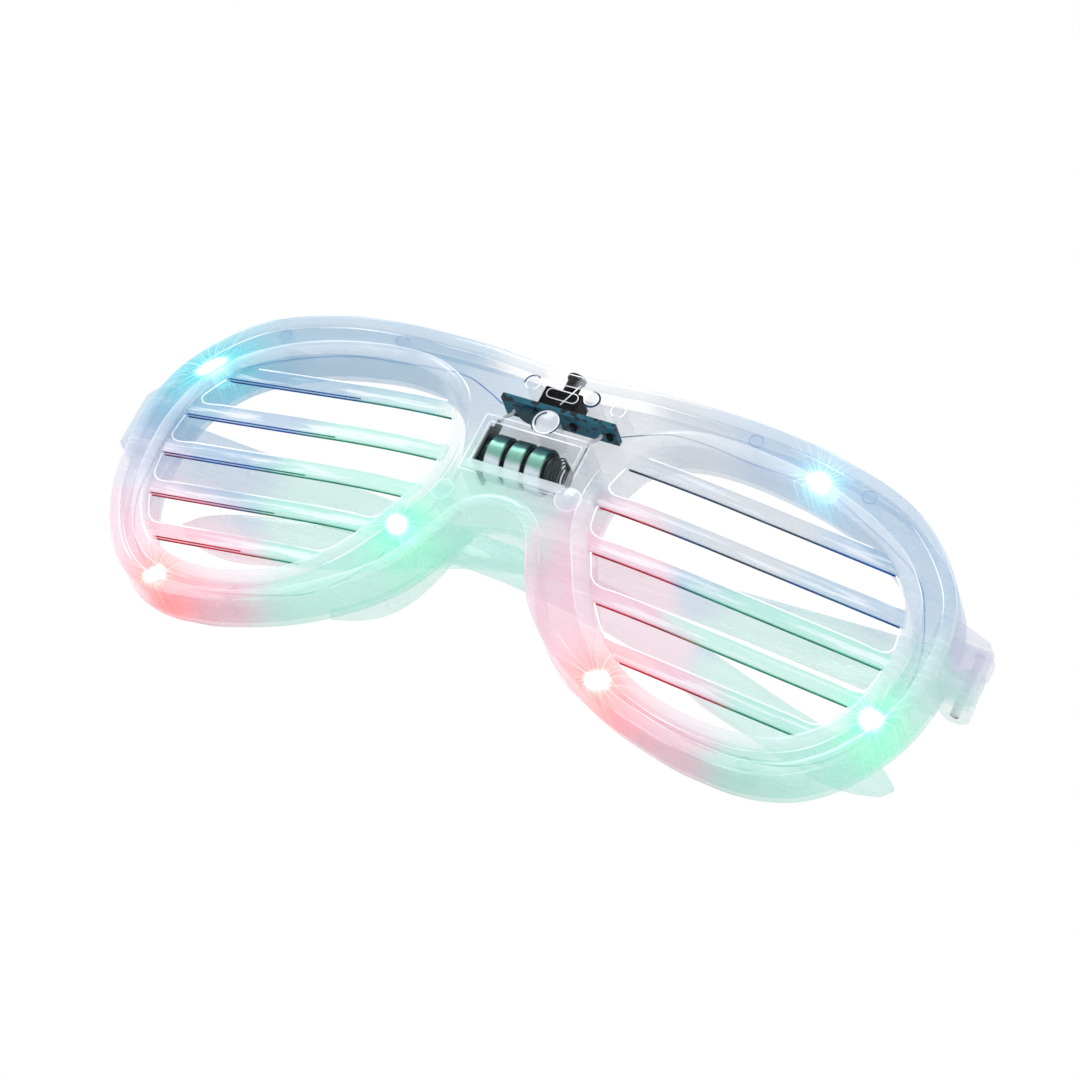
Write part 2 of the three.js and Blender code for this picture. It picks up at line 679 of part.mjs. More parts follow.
function batteryDoor() {
  const left = boxLeft;
  const right = boxRight + doorTabLength;
  const [low, high] = [boxBottom, boxTop];
  const r = doorCornerRadius;
  const shape = new THREE.Shape();
  shape.moveTo(left + r, low);
  shape.lineTo(right - r, low);
  shape.absarc(right - r, low + r, r, -Math.PI / 2, 0);
  shape.lineTo(right, high - r);
  shape.absarc(right - r, high - r, r, 0, Math.PI / 2);
  shape.lineTo(left + r, high);
  shape.absarc(left + r, high - r, r, Math.PI / 2, Math.PI);
  shape.lineTo(left, low + r);
  shape.absarc(left + r, low + r, r, Math.PI, 3 * Math.PI / 2);
  const points = shape.getPoints(doorCornerSteps).map(({ x, y }) => [x, y]);
  const slab = frontal(points.slice(0, -1), doorNear, doorNear + doorThickness);
  const hole = cylinderAlongY(doorScrewX, doorScrewZ, screwRadius + clearance, prismNear,
    prismFar + cutOverrun);
  return slab.subtract(hole);
}

function switchBody() {
  const half = switchWidth / 2;
  const body = block(buttonX - half, buttonX + half, buttonDepth - switchDepth / 2,
    buttonDepth + switchDepth / 2, switchBottom, switchTop);
  const bore = cylinderAlongZ(buttonX, buttonDepth, stemRadius + clearance, switchTop - switchBoreDepth,
    switchTop + cutOverrun);
  return body.subtract(bore);
}

function pushButton() {
  const capLow = topWallUnder + shellWall + buttonLift;
  const stem = cylinderAlongZ(buttonX, buttonDepth, stemRadius, switchTop - stemSink, capLow + capHeight / 2);
  return stem.add(cylinderAlongZ(buttonX, buttonDepth, capRadius, capLow, capLow + capHeight));
}

// A lamp on its back with its dome towards the front plate
function lamp([x, z]) {
  const base = wrap(x) + backPlateNear - shellWall;
  const straight = lampLength - lampRadius;
  const profile = [[0, 0], [lampFlangeRadius, 0], [lampFlangeRadius, lampFlangeLength],
    [lampRadius, lampFlangeLength], [lampRadius, straight]];
  for (let i = 1; i < lampRings; i += 1) {
    const angle = (i / lampRings) * (Math.PI / 2);
    profile.push([lampRadius * Math.cos(angle), straight + lampRadius * Math.sin(angle)]);
  }
  profile.push([0, lampLength]);
  const geometry = new THREE.LatheGeometry(profile.map(([r, y]) => new THREE.Vector2(r, y)), lampSides);
  geometry.rotateZ(Math.PI);
  geometry.translate(x, base, z);
  return toSolid(geometry);
}

function lead(routeShares) {
  const points = scaledShares(routeShares).map(([x, z]) => new THREE.Vector3(x, wrap(x) + leadDepth, z));
  const curve = new THREE.CatmullRomCurve3(points);
  const steps = Math.ceil(curve.getLength() / leadStepLength);
  return toSolid(tube(curve, steps, leadRadius, leadSides));
}

// A short lead from the top of a contact up to the board's underside
function batteryLead(fromX, toX) {
  const start = contactTop + clearance;
  const end = boardBottom - clearance;
  const points = [
    new THREE.Vector3(fromX, contactY, start),
    new THREE.Vector3(fromX, contactY, start + (end - start) / 4),
    new THREE.Vector3(toX, contactY, start + 3 * (end - start) / 4),
    new THREE.Vector3(toX, contactY, end),
  ];
  return toSolid(tube(new THREE.CatmullRomCurve3(points), batteryLeadSteps, leadRadius, leadSides));
}

// The assembly, in groups that follow how the glasses come apart
const glasses = new THREE.Group();

function add(name, solid, material) {
  glasses.add(named(name, solid, material));
}

add('front_shell', frontShell(), clearPlastic);
add('back_shell', backShell(), clearPlastic);
for (const [side, loop] of [['left', openings[0]], ['right', openings[1]]]) {
  for (let i = 0; i < slatCount; i += 1) {
    add(`slat_${side}_${i + 1}`, slat(loop, slatCount - 1 - i), clearPlastic);
  }
}

add('battery_door', batteryDoor(), clearPlastic);
const doorScrewNear = doorNear + doorThickness + clearance;
const doorScrewLength = doorThickness + 2 * clearance + doorBossLength - boxWall - clearance;
const doorScrew = screw(doorScrewX, doorScrewZ, doorScrewNear, doorScrewHeadRadius, doorScrewHeadHeight,
  doorScrewLength);
add('battery_door_screw', doorScrew, steel);

for (let i = 0; i < cellCount; i += 1) add(`battery_cell_${i + 1}`, cell(i), steel);
add('contact_plate', contactPlate(), steel);
add('contact_spring', contactSpring(), darkSteel);
add('battery_lead_positive', batteryLead(contactPlateX, contactPlateX + batteryLeadSpread), wireInsulation);
add('battery_lead_negative', batteryLead(springTailX, springTailX + batteryLeadSpread), wireInsulation);

const board = block(-boardHalfLength, boardHalfLength, boardNear, boardFar, boardBottom, boardTop);
add('circuit_board', board, boardGreen);
const boardMiddle = (boardNear + boardFar) / 2;
const chipTop = boardBottom - solderGap;
const controllerLow = chipTop - controllerHeight;
const controller = cylinderAlongZ(controllerX, boardMiddle, controllerRadius, controllerLow, chipTop);
add('controller_blob', controller, blackPlastic);
resistorXs.forEach((x, i) => {
  const resistor = block(x - resistorWidth / 2, x + resistorWidth / 2, boardMiddle - resistorLength / 2,
    boardMiddle + resistorLength / 2, chipTop - resistorHeight, chipTop);
  add(`resistor_${i + 1}`, resistor, blackPlastic);
});
add('switch_body', switchBody(), blackPlastic);
add('push_button', pushButton(), blackPlastic);

scaledShares(lampShares).forEach((place, i) => {
  const dome = new THREE.MeshStandardMaterial({ color: lampColours[i], roughness: 0.2, metalness: 0 });
  dome.emissive = new THREE.Color(lampColours[i]);
  add(`lamp_${i + 1}`, lamp(place), dome);
});
leadRouteShares.forEach((route, i) => add(`lamp_lead_${i + 1}`, lead(route), wireInsulation));

// Temples and their pins, each in a group at its hinge: turned by the fold angle, then tilted by the
// hinge's play
const degree = Math.PI / 180;
for (const side of [-1, 1]) {
  const word = side < 0 ? 'left' : 'right';
  const hinge = new THREE.Group();
  hinge.position.set(side * hingeX, hingeY, 0);
  const pin = named(`${word}_hinge_pin`, hingePin(), steel);
  hinge.add(pin);
  const turned = new THREE.Group();
  turned.position.z = hingeZ;
  turned.rotation.z = side < 0 ? leftFoldAngle * degree : Math.PI - rightFoldAngle * degree;
  const arm = named(`${word}_temple`, temple(), templePlastic);
  arm.rotation.y = side < 0 ? -leftLift * degree : rightDroop * degree;
  turned.add(arm);
  hinge.add(turned);
  glasses.add(hinge);
}

// The origin lies at the middle of the footprint, on the plane that the feet stand on
glasses.updateMatrixWorld(true);
const box = new THREE.Box3().setFromObject(glasses, true);
glasses.position.y = -(box.min.y + box.max.y) / 2;

export default glasses;
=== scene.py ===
"""Looks of the light-up slatted glasses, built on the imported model.

Sizes are in millimetres until a piece is placed, and depths count back from the wrapped front face.
"""

import math

import bmesh
import bpy
import numpy as np
from mathutils import Matrix, Vector
from mathutils.geometry import delaunay_2d_cdt


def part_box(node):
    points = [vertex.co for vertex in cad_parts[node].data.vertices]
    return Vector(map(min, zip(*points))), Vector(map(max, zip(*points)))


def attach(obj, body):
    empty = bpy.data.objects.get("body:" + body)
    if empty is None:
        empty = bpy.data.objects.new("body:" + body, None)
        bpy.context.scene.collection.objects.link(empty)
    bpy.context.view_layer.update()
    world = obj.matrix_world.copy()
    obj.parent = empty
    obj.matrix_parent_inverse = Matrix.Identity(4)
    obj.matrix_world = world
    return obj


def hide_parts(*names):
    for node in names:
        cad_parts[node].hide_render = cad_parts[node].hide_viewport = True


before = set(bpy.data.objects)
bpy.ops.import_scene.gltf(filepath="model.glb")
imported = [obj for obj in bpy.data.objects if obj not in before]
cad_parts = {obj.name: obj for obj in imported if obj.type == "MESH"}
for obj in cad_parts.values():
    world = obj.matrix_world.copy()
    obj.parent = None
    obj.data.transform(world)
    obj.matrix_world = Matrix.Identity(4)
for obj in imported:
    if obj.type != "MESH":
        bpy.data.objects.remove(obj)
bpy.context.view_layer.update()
scene = bpy.context.scene
scene.view_settings.view_transform = "Standard"
scene.cycles.transparent_max_bounces = 40

# Camera: the photograph's view, from ahead, to the right and below
PHOTO_SIZE = 1080
FOCAL_PIXELS = 5000
CAMERA_PLACE = (0.32379315, -0.67577285, -0.29736807)
CAMERA_RIGHT = (0.8785487, 0.21450561, 0.42677808)
CAMERA_UP = (-0.26294983, -0.52871812, 0.8070406)
CAMERA_BACK = (0.39876004, -0.82124569, -0.40810041)
camera_data = bpy.data.cameras.new("camera")
camera_data.sensor_width = 36
camera_data.lens = 36 * FOCAL_PIXELS / PHOTO_SIZE
camera_data.clip_start = 0.05
camera_data.clip_end = 20
camera = bpy.data.objects.new("camera", camera_data)
scene.collection.objects.link(camera)
scene.camera = camera
camera_axes = Matrix((CAMERA_RIGHT, CAMERA_UP, CAMERA_BACK)).transposed()
camera.matrix_world = Matrix.Translation(CAMERA_PLACE) @ camera_axes.to_4x4()

# The front's outline and right opening, as shares of its half width and height
HALF_WIDTH = 73.9
HEIGHT = 57.9
OUTLINE = [
    (0.000, 0.953), (0.108, 0.964), (0.189, 0.976), (0.298, 0.986), (0.433, 0.997), (0.555, 1.000),
    (0.654, 0.986), (0.737, 0.967), (0.812, 0.933), (0.881, 0.874), (0.936, 0.803), (0.974, 0.729),
    (0.995, 0.639), (1.000, 0.535), (0.992, 0.432), (0.973, 0.328), (0.936, 0.225), (0.886, 0.133),
    (0.823, 0.060), (0.748, 0.017), (0.670, 0.000), (0.582, 0.000), (0.494, 0.016), (0.411, 0.040),
    (0.332, 0.078), (0.264, 0.126), (0.206, 0.180), (0.160, 0.242), (0.126, 0.311), (0.097, 0.389),
    (0.073, 0.449), (0.043, 0.478), (0.000, 0.489),
]
OPENING = [
    (0.194, 0.553), (0.192, 0.639), (0.206, 0.718), (0.238, 0.796), (0.310, 0.850), (0.406, 0.872),
    (0.514, 0.872), (0.622, 0.857), (0.731, 0.817), (0.812, 0.760), (0.869, 0.677), (0.896, 0.570),
    (0.897, 0.449), (0.877, 0.337), (0.836, 0.235), (0.777, 0.161), (0.700, 0.119), (0.610, 0.105),
    (0.521, 0.112), (0.442, 0.138), (0.382, 0.180), (0.327, 0.242), (0.276, 0.328), (0.233, 0.432),
    (0.206, 0.501),
]
# Where the front face lies in the frame, and how it is wrapped: round in the middle, straight further out
OFFSET_Y = -27.1888
WRAP_RADIUS = 150
WRAP_REACH = 34
WRAP_ARC = math.asin(WRAP_REACH / WRAP_RADIUS)
WALL = 1.2
FRONT_DEPTH = 6.9
BACK_NEAR = 7.2
BACK_FAR = 8.4
RIM_STEPS = 420
OPENING_STEPS = 220

HINGE_X = 75.0
HINGE_Z = 0.587 * HEIGHT
HINGE_HALF = 5.4
HINGE_LOW = HINGE_Z - HINGE_HALF
HINGE_HIGH = HINGE_Z + HINGE_HALF
HINGE_SETBACK = 3.2

SLAT_COUNT = 5
SLAT_LOW = 0.179 * HEIGHT
SLAT_PITCH = 0.1382 * HEIGHT
SLAT_HEIGHT = 2.8

# Places of the lamps and routes of their wires, as shares of the half width and height
LAMPS = [(-0.889, 0.782), (-0.729, 0.073), (-0.206, 0.378), (0.601, 0.920), (0.375, 0.117), (0.920, 0.321)]
LEAD_ROUTES = [
    [(-0.146, 0.843), (-0.189, 0.870), (-0.257, 0.903), (-0.352, 0.910), (-0.447, 0.908), (-0.555, 0.908),
     (-0.677, 0.881), (-0.771, 0.845), (-0.832, 0.815), (-0.862, 0.798)],
    [(-0.907, 0.753), (-0.928, 0.691), (-0.936, 0.622), (-0.939, 0.535), (-0.936, 0.449), (-0.926, 0.337),
     (-0.888, 0.230), (-0.836, 0.154), (-0.785, 0.109), (-0.756, 0.088)],
    [(-0.701, 0.073), (-0.609, 0.067), (-0.514, 0.079), (-0.447, 0.092), (-0.365, 0.116), (-0.281, 0.197),
     (-0.238, 0.276), (-0.217, 0.340)],
    [(0.146, 0.843), (0.189, 0.870), (0.250, 0.902), (0.338, 0.910), (0.440, 0.907), (0.514, 0.912),
     (0.572, 0.915)],
    [(0.629, 0.907), (0.704, 0.870), (0.785, 0.827), (0.866, 0.765), (0.909, 0.665), (0.936, 0.553),
     (0.939, 0.449), (0.924, 0.359)],
    [(0.909, 0.285), (0.885, 0.225), (0.839, 0.155), (0.778, 0.107), (0.723, 0.086), (0.622, 0.067),
     (0.514, 0.076), (0.447, 0.093), (0.403, 0.111)],
]


def wrap(x):
    """How far back the wrapped face lies at x."""
    x = abs(x)
    if x <= WRAP_REACH:
        return WRAP_RADIUS - math.sqrt(WRAP_RADIUS**2 - x**2)
    return WRAP_RADIUS * (1 - math.cos(WRAP_ARC)) + (x - WRAP_REACH) * math.tan(WRAP_ARC)


HINGE_Y = wrap(HINGE_X) + BACK_FAR + HINGE_SETBACK


def to_metres(point):
    x, y, z = point
    return Vector((x, y + OFFSET_Y, z)) / 1000


# Smooth lines and loops

def hermite(p0, p1, p2, p3, t, spread):
    """A point between p1 and p2. The spread is 0.25 for a centripetal curve and 0 for a uniform one."""
    gaps = [float(np.sum((b - a) ** 2)) ** spread for a, b in ((p0, p1), (p1, p2), (p2, p3))]
    t1 = ((p1 - p0) / gaps[0] - (p2 - p0) / (gaps[0] + gaps[1]) + (p2 - p1) / gaps[1]) * gaps[1]
    t2 = ((p2 - p1) / gaps[1] - (p3 - p1) / (gaps[1] + gaps[2]) + (p3 - p2) / gaps[2]) * gaps[1]
    c2, c3 = -3 * p1 + 3 * p2 - 2 * t1 - t2, 2 * p1 - 2 * p2 + t1 + t2
    return p1 + t1 * t + c2 * t**2 + c3 * t**3


def smooth(points, count, closed=False, spread=0.25):
    """Evenly spaced points on a smooth curve through the given ones."""
    points = [np.array(p, float) for p in points]
    n = len(points)
    dense = []
    for i in range(n if closed else n - 1):
        picks = [(i + k) % n if closed else min(max(i + k, 0), n - 1) for k in (-1, 0, 1, 2)]
        four = [points[k] for k in picks]
        if not closed and i == 0:
            four[0] = 2 * four[1] - four[2]
        if not closed and i == n - 2:
            four[3] = 2 * four[2] - four[1]
        dense += [hermite(*four, t, spread) for t in np.linspace(0, 1, 24, endpoint=False)]
    dense.append(dense[0] if closed else points[-1])
    dense = np.array(dense)
    along = np.concatenate([[0], np.cumsum(np.linalg.norm(np.diff(dense, axis=0), axis=1))])
    marks = np.linspace(0, along[-1], count + 1 if closed else count)
    if closed:
        marks = marks[:-1]
    return np.stack([np.interp(marks, along, dense[:, k]) for k in range(dense.shape[1])], axis=1)


def scaled(shares, width=HALF_WIDTH, height=HEIGHT):
    return [(x * width, z * height) for x, z in shares]


def offset(loop, distance):
    """The loop moved outwards, or inwards where the distance is negative."""
    before, after = np.roll(loop, 1, axis=0), np.roll(loop, -1, axis=0)
    turn = np.sign(np.sum(loop[:, 0] * after[:, 1] - after[:, 0] * loop[:, 1]))

    def normals(a, b):
        way = b - a
        way /= np.linalg.norm(way, axis=1, keepdims=True)
        return np.stack([way[:, 1], -way[:, 0]], axis=1)

    total = normals(before, loop) + normals(loop, after)
    return loop + total * (2 * distance * turn / np.sum(total**2, axis=1))[:, None]


rim_half = scaled(OUTLINE)
RIM = smooth(rim_half + [(-x, z) for x, z in reversed(rim_half[1:-1])], RIM_STEPS, closed=True)
RIM[:, 1] = np.clip(RIM[:, 1], 0, HEIGHT - 0.02)
RIGHT_OPENING = smooth(scaled(OPENING), OPENING_STEPS, closed=True)
LEFT_OPENING = (RIGHT_OPENING * (-1, 1))[::-1]
OPENINGS = {"left": LEFT_OPENING, "right": RIGHT_OPENING}


# Making pieces. An edge is sharp where its faces turn by more than this angle
SHARP_ANGLE = math.radians(35)


def make(name, points, faces, material, body="front", slot="clear_plastic", replaces=()):
    """A piece from points in millimetres, with its faces turned outwards."""
    mesh = bpy.data.meshes.new(name)
    mesh.from_pydata([to_metres(p) for p in points], [], [list(map(int, face)) for face in faces])
    shape = bmesh.new()
    shape.from_mesh(mesh)
    bmesh.ops.remove_doubles(shape, verts=shape.verts, dist=2e-6)
    bmesh.ops.recalc_face_normals(shape, faces=shape.faces)
    shape.to_mesh(mesh)
    shape.free()
    mesh.materials.append(material)
    mesh.shade_smooth()
    mesh.set_sharp_from_angle(angle=SHARP_ANGLE)
    piece = bpy.data.objects.new(name, mesh)
    scene.collection.objects.link(piece)
    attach(piece, body)
    if replaces:
        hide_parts(*replaces)
    return piece


def bevel(piece, width):
    """Rounds the piece's sharp edges by a width in millimetres."""
    rounding = piece.modifiers.new("rounding", "BEVEL")
    rounding.width = width / 1000
    rounding.segments = 3
    rounding.limit_method = "ANGLE"
    rounding.angle_limit = SHARP_ANGLE


def rings_to_mesh(rings, closed_across=False, caps=False):
    """Points and faces of a surface through rings with the same number of points."""
    count = len(rings[0])
    points = [tuple(p) for ring in rings for p in ring]
    faces = []
    for i in range(len(rings) if closed_across else len(rings) - 1):
        low, high = i * count, ((i + 1) % len(rings)) * count
        for j in range(count):
            k = (j + 1) % count
            faces.append((low + j, low + k, high + k, high + j))
    if caps:
        faces.append(tuple(range(count)))
        faces.append(tuple((len(rings) - 1) * count + j for j in range(count)))
    return points, faces


def inside(loop, points):
    """Which points lie inside a loop."""
    result = np.zeros(len(points), bool)
    for (ax, az), (bx, bz) in zip(loop, np.roll(loop, -1, axis=0)):
        crosses = (az > points[:, 1]) != (bz > points[:, 1])
        with np.errstate(divide="ignore", invalid="ignore"):
            result ^= crosses & (points[:, 0] < (bx - ax) * (points[:, 1] - az) / (bz - az) + ax)
    return result


# Points in a plate's flat faces lie a step apart and keep a margin to its edges
GRID_STEP = 2.4
GRID_REACH = 72
GRID_MARGIN = 1


def plate_with_openings(rim_profile, opening_profile):
    """A wrapped plate. A profile lists (distance into the plate, depth), from its front face to its back."""
    points, faces, ends = [], [], []
    plan = [(RIM, -1, rim_profile)] + [(loop, 1, opening_profile) for loop in OPENINGS.values()]
    for loop, way, profile in plan:
        rings = [[(x, wrap(x) + depth, z) for x, z in offset(loop, way * distance)]
                 for distance, depth in profile]
        start = len(points)
        ring_points, ring_faces = rings_to_mesh(rings)
        points += ring_points
        faces += [tuple(start + k for k in face) for face in ring_faces]
        ends.append((start, start + (len(rings) - 1) * len(loop), np.array([(x, z) for x, _, z in rings[0]])))

    def in_plate(spots, margin):
        """Which spots lie in the plate's face, off its edges by a margin."""
        found = inside(offset(ends[0][2], -margin), spots)
        for _, _, ring in ends[1:]:
            found &= ~inside(offset(ring, margin), spots)
        return found

    edge_points = np.concatenate([ring for _, _, ring in ends])
    edges, first_of, last_of = [], [], []
    base = 0
    for first, last, ring in ends:
        count = len(ring)
        edges += [(base + j, base + (j + 1) % count) for j in range(count)]
        first_of += range(first, first + count)
        last_of += range(last, last + count)
        base += count
    across, up = np.arange(-GRID_REACH, GRID_REACH + 0.1, GRID_STEP), np.arange(1, HEIGHT, GRID_STEP)
    grid = np.array([(x, z) for x in across for z in up])
    grid = grid[in_plate(grid, GRID_MARGIN)]
    flat = [Vector(p) for p in np.concatenate([edge_points, grid])]
    verts, _, tris, origin, _, _ = delaunay_2d_cdt(flat, edges, [], 1, 1e-5)
    centres = np.array([np.mean([verts[k][:] for k in tri], axis=0) for tri in tris])
    solid = in_plate(centres, 0)
    for lookup, depth in ((first_of, rim_profile[0][1]), (last_of, rim_profile[-1][1])):
        where = []
        for k, vert in enumerate(verts):
            source = [s for s in origin[k] if s < base]
            if source:
                where.append(lookup[source[0]])
            else:
                where.append(len(points))
                points.append((vert[0], wrap(vert[0]) + depth, vert[1]))
        faces += [tuple(where[k] for k in tri) for tri, good in zip(tris, solid) if good]
    return points, faces


def bead(width, height, steps=12):
    """A rounded bead from its inner foot to the plate's edge."""
    half = width / 2
    angles = [math.pi * i / steps for i in range(steps + 1)]
    return [(half + half * math.cos(a), -height * math.sin(a) ** 0.8) for a in angles]


def lathe(profile, sides, origin, axis):
    """Points and faces of a turned piece: (radius, distance) pairs from an origin along an axis."""
    axis = Vector(axis).normalized()
    across = axis.orthogonal().normalized()
    other = axis.cross(across)
    angles = [2 * math.pi * i / sides for i in range(sides)]
    rings = []
    for radius, distance in profile:
        middle, reach = Vector(origin) + axis * distance, max(radius, 1e-3)
        rings.append([middle + (across * math.cos(a) + other * math.sin(a)) * reach for a in angles])
    return rings_to_mesh(rings, caps=True)


def box_points(low, high):
    """Points and faces of a box between two corners."""
    (x0, y0, z0), (x1, y1, z1) = low, high
    points = [(x, y, z) for z in (z0, z1) for y in (y0, y1) for x in (x0, x1)]
    return points, [(0, 1, 3, 2), (4, 5, 7, 6), (0, 1, 5, 4), (2, 3, 7, 6), (0, 2, 6, 4), (1, 3, 7, 5)]


def node_box(node):
    """The low corner, high corner and middle of a CAD node's box in millimetres, counted as depths are."""
    low, high = (np.array(corner) * 1000 - (0, OFFSET_Y, 0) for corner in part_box(node))
    return low, high, (low + high) / 2


def tube_points(path, radius, sides=10):
    """A round tube along a path of points, with flat ends."""
    path = [Vector(p) for p in path]
    angles = [2 * math.pi * k / sides for k in range(sides)]
    rings = []
    normal = None
    for i, point in enumerate(path):
        way = (path[min(i + 1, len(path) - 1)] - path[max(i - 1, 0)]).normalized()
        if normal is None:
            normal = way.orthogonal().normalized()
        normal = (normal - way * normal.dot(way)).normalized()
        other = way.cross(normal)
        rings.append([point + (normal * math.cos(a) + other * math.sin(a)) * radius for a in angles])
    return rings_to_mesh(rings, caps=True)


def upright(outline, low, high):
    """A prism along Z over an outline of (x, y) points."""
    count = len(outline)
    points = [(x, y, z) for z in (low, high) for x, y in outline]
    faces = [tuple(range(count)), tuple(range(count, 2 * count))]
    faces += [(i, (i + 1) % count, count + (i + 1) % count, count + i) for i in range(count)]
    return points, faces


def rounded_frame(outer, inner, near, far):
    """A tube along Y between two loops of (x, z) points, with softened lips."""
    lip = 0.15
    rings = []
    for loop, sign in ((outer, -1), (inner, 1)):
        stations = ((near, sign * lip), (near + lip, 0), (far - lip, 0), (far, sign * lip))
        part = [[(x, y, z) for x, z in offset(loop, moved)] for y, moved in stations]
        rings += part if sign < 0 else part[::-1]
    return rings_to_mesh(rings, closed_across=True)


def rounded_rectangle(left, right, low, high, radius, steps=6):
    points = []
    left, right, low, high = left + radius, right - radius, low + radius, high - radius
    for cx, cz, start in ((right, high, 0), (left, high, 90), (left, low, 180), (right, low, 270)):
        for i in range(steps + 1):
            angle = math.radians(start + 90 * i / steps)
            points.append((cx + radius * math.cos(angle), cz + radius * math.sin(angle)))
    return np.array(points)


# Materials

class Web:
    """A material's node tree, with short ways to add nodes and links."""

    def __init__(self, tree):
        self.tree = tree

    def add(self, kind, inputs=(), **settings):
        node = self.tree.nodes.new(kind)
        for key, value in settings.items():
            setattr(node, key, value)
        for key, value in dict(inputs).items():
            if isinstance(value, bpy.types.NodeSocket):
                self.tree.links.new(value, node.inputs[key])
            else:
                node.inputs[key].default_value = value
        return node

    def math(self, operation, a, b=0.0, c=0.0):
        return self.add("ShaderNodeMath", {0: a, 1: b, 2: c}, operation=operation).outputs[0]

    def times(self, a, b):
        return self.math("MULTIPLY", a, b)

    def plus(self, a, b):
        return self.math("ADD", a, b)

    def line(self, a, slope, start):
        """The value times a slope, plus a start."""
        return self.math("MULTIPLY_ADD", a, slope, start)

    def vector(self, operation, a, b=(0, 0, 0)):
        return self.add("ShaderNodeVectorMath", {0: a, 1: b}, operation=operation).outputs["Vector"]

    def height(self, place):
        return self.add("ShaderNodeSeparateXYZ", {0: place}).outputs[2]

    def measure(self, operation, a, b=(0, 0, 0)):
        """A number taken from vectors: LENGTH or DOT_PRODUCT."""
        return self.add("ShaderNodeVectorMath", {0: a, 1: b}, operation=operation).outputs["Value"]

    def scale(self, a, amount):
        return self.add("ShaderNodeVectorMath", {0: a, "Scale": amount}, operation="SCALE").outputs["Vector"]

    def mix(self, share, a, b):
        colours = [(*c, 1) if isinstance(c, tuple) else c for c in (a, b)]
        inputs = {"Factor": share, 6: colours[0], 7: colours[1]}
        return self.add("ShaderNodeMix", inputs, data_type="RGBA").outputs[2]

    def ramp(self, value, start, end, low=0.0, high=1.0, curve="SMOOTHSTEP"):
        """Goes from low to high while the value goes from start to end."""
        inputs = {"Value": value, "From Min": start, "From Max": end, "To Min": low, "To Max": high}
        return self.add("ShaderNodeMapRange", inputs, interpolation_type=curve).outputs["Result"]

    def place(self):
        return self.add("ShaderNodeTexCoord").outputs["Object"]

    def noise(self, place, scale, detail, output="Fac"):
        inputs = {"Vector": place, "Scale": scale, "Detail": detail}
        return self.add("ShaderNodeTexNoise", inputs).outputs[output]

    def bump(self, height, strength, distance):
        inputs = {"Height": height, "Strength": strength, "Distance": distance}
        return self.add("ShaderNodeBump", inputs).outputs["Normal"]

    def shade(self, inputs):
        """The tree's one shader and its output."""
        shader = self.add("ShaderNodeBsdfPrincipled", inputs)
        self.add("ShaderNodeOutputMaterial", {"Surface": shader.outputs["BSDF"]})


# Zones of tint in the plastic: centre and reach as shares of the half width and height, colour, softness
BLUE = (0.36, 0.53, 0.69)
STEEL = (0.25, 0.44, 0.60)
GREEN = (0.45, 0.81, 0.71)
PINK = (0.86, 0.57, 0.67)
GREY = (0.56, 0.60, 0.66)
LILAC = (0.68, 0.67, 0.80)
PALE = (0.62, 0.80, 0.78)
# The deep shade of each tint, for wires and for the painted shade of the edges that stay dark
DEEP = {
    BLUE: (0.0, 0.050, 0.24), STEEL: (0.0, 0.060, 0.22), GREEN: (0.0, 0.17, 0.09), PINK: (0.30, 0.006, 0.020),
    GREY: (0.010, 0.040, 0.075), LILAC: (0.10, 0.02, 0.12), PALE: (0.0, 0.15, 0.12),
}
ZONES = [
    ((-0.52, 0.88), (0.34, 0.22), STEEL, 0.8),
    ((0.14, 0.74), (0.27, 0.42), GREY, 0.5),
    ((-0.30, 0.40), (0.30, 0.37), GREEN, 0.35),
    ((-0.08, 0.32), (0.20, 0.32), GREEN, 0.5),
    ((1.02, 0.46), (0.14, 0.18), PALE, 0.6),
    ((0.72, 0.24), (0.33, 0.33), GREEN, 0.3),
    ((-0.92, 0.36), (0.12, 0.16), LILAC, 0.6),
    ((-0.36, 0.08), (0.30, 0.26), GREEN, 0.4),
    ((-0.80, 0.06), (0.33, 0.28), PINK, 0.35),
    ((0.39, 0.06), (0.25, 0.28), PINK, 0.35),
    ((0.26, 0.28), (0.18, 0.38), PINK, 0.3),
    ((0.51, 0.70), (0.14, 0.16), GREY, 0.6),
    ((1.05, 0.66), (0.06, 0.09), LILAC, 0.6),
]
# Each lamp's halo colour, the sizes of its halo and white core in metres, and the way these are drawn out
HALOS = [
    ((0.00, 0.50, 0.54), 0.0044, 0.0014, (0.80, 0, 0.60)),
    ((0.92, 0.28, 0.23), 0.0056, 0.0017, None),
    ((0.10, 0.76, 0.42), 0.0042, 0.0016, None),
    ((0.34, 0.78, 0.86), 0.0032, 0.0017, None),
    ((0.92, 0.28, 0.23), 0.0056, 0.0018, None),
    ((0.10, 0.76, 0.42), 0.0044, 0.0018, None),
]
# The rays round each lamp: how many, turned by what angle, and how thin
RAYS = ((9.0, 0.4, 26.0), (6.5, 1.3, 40.0), (13.5, 0.0, 30.0))
HALO_DROP = 1.2


def halo_centre(lamp):
    """Where the light of a lamp at (x, z) shows, a little below the lamp and just behind the front face."""
    x, z = lamp
    return tuple(to_metres((x, wrap(x) + 0.1, z - HALO_DROP)))


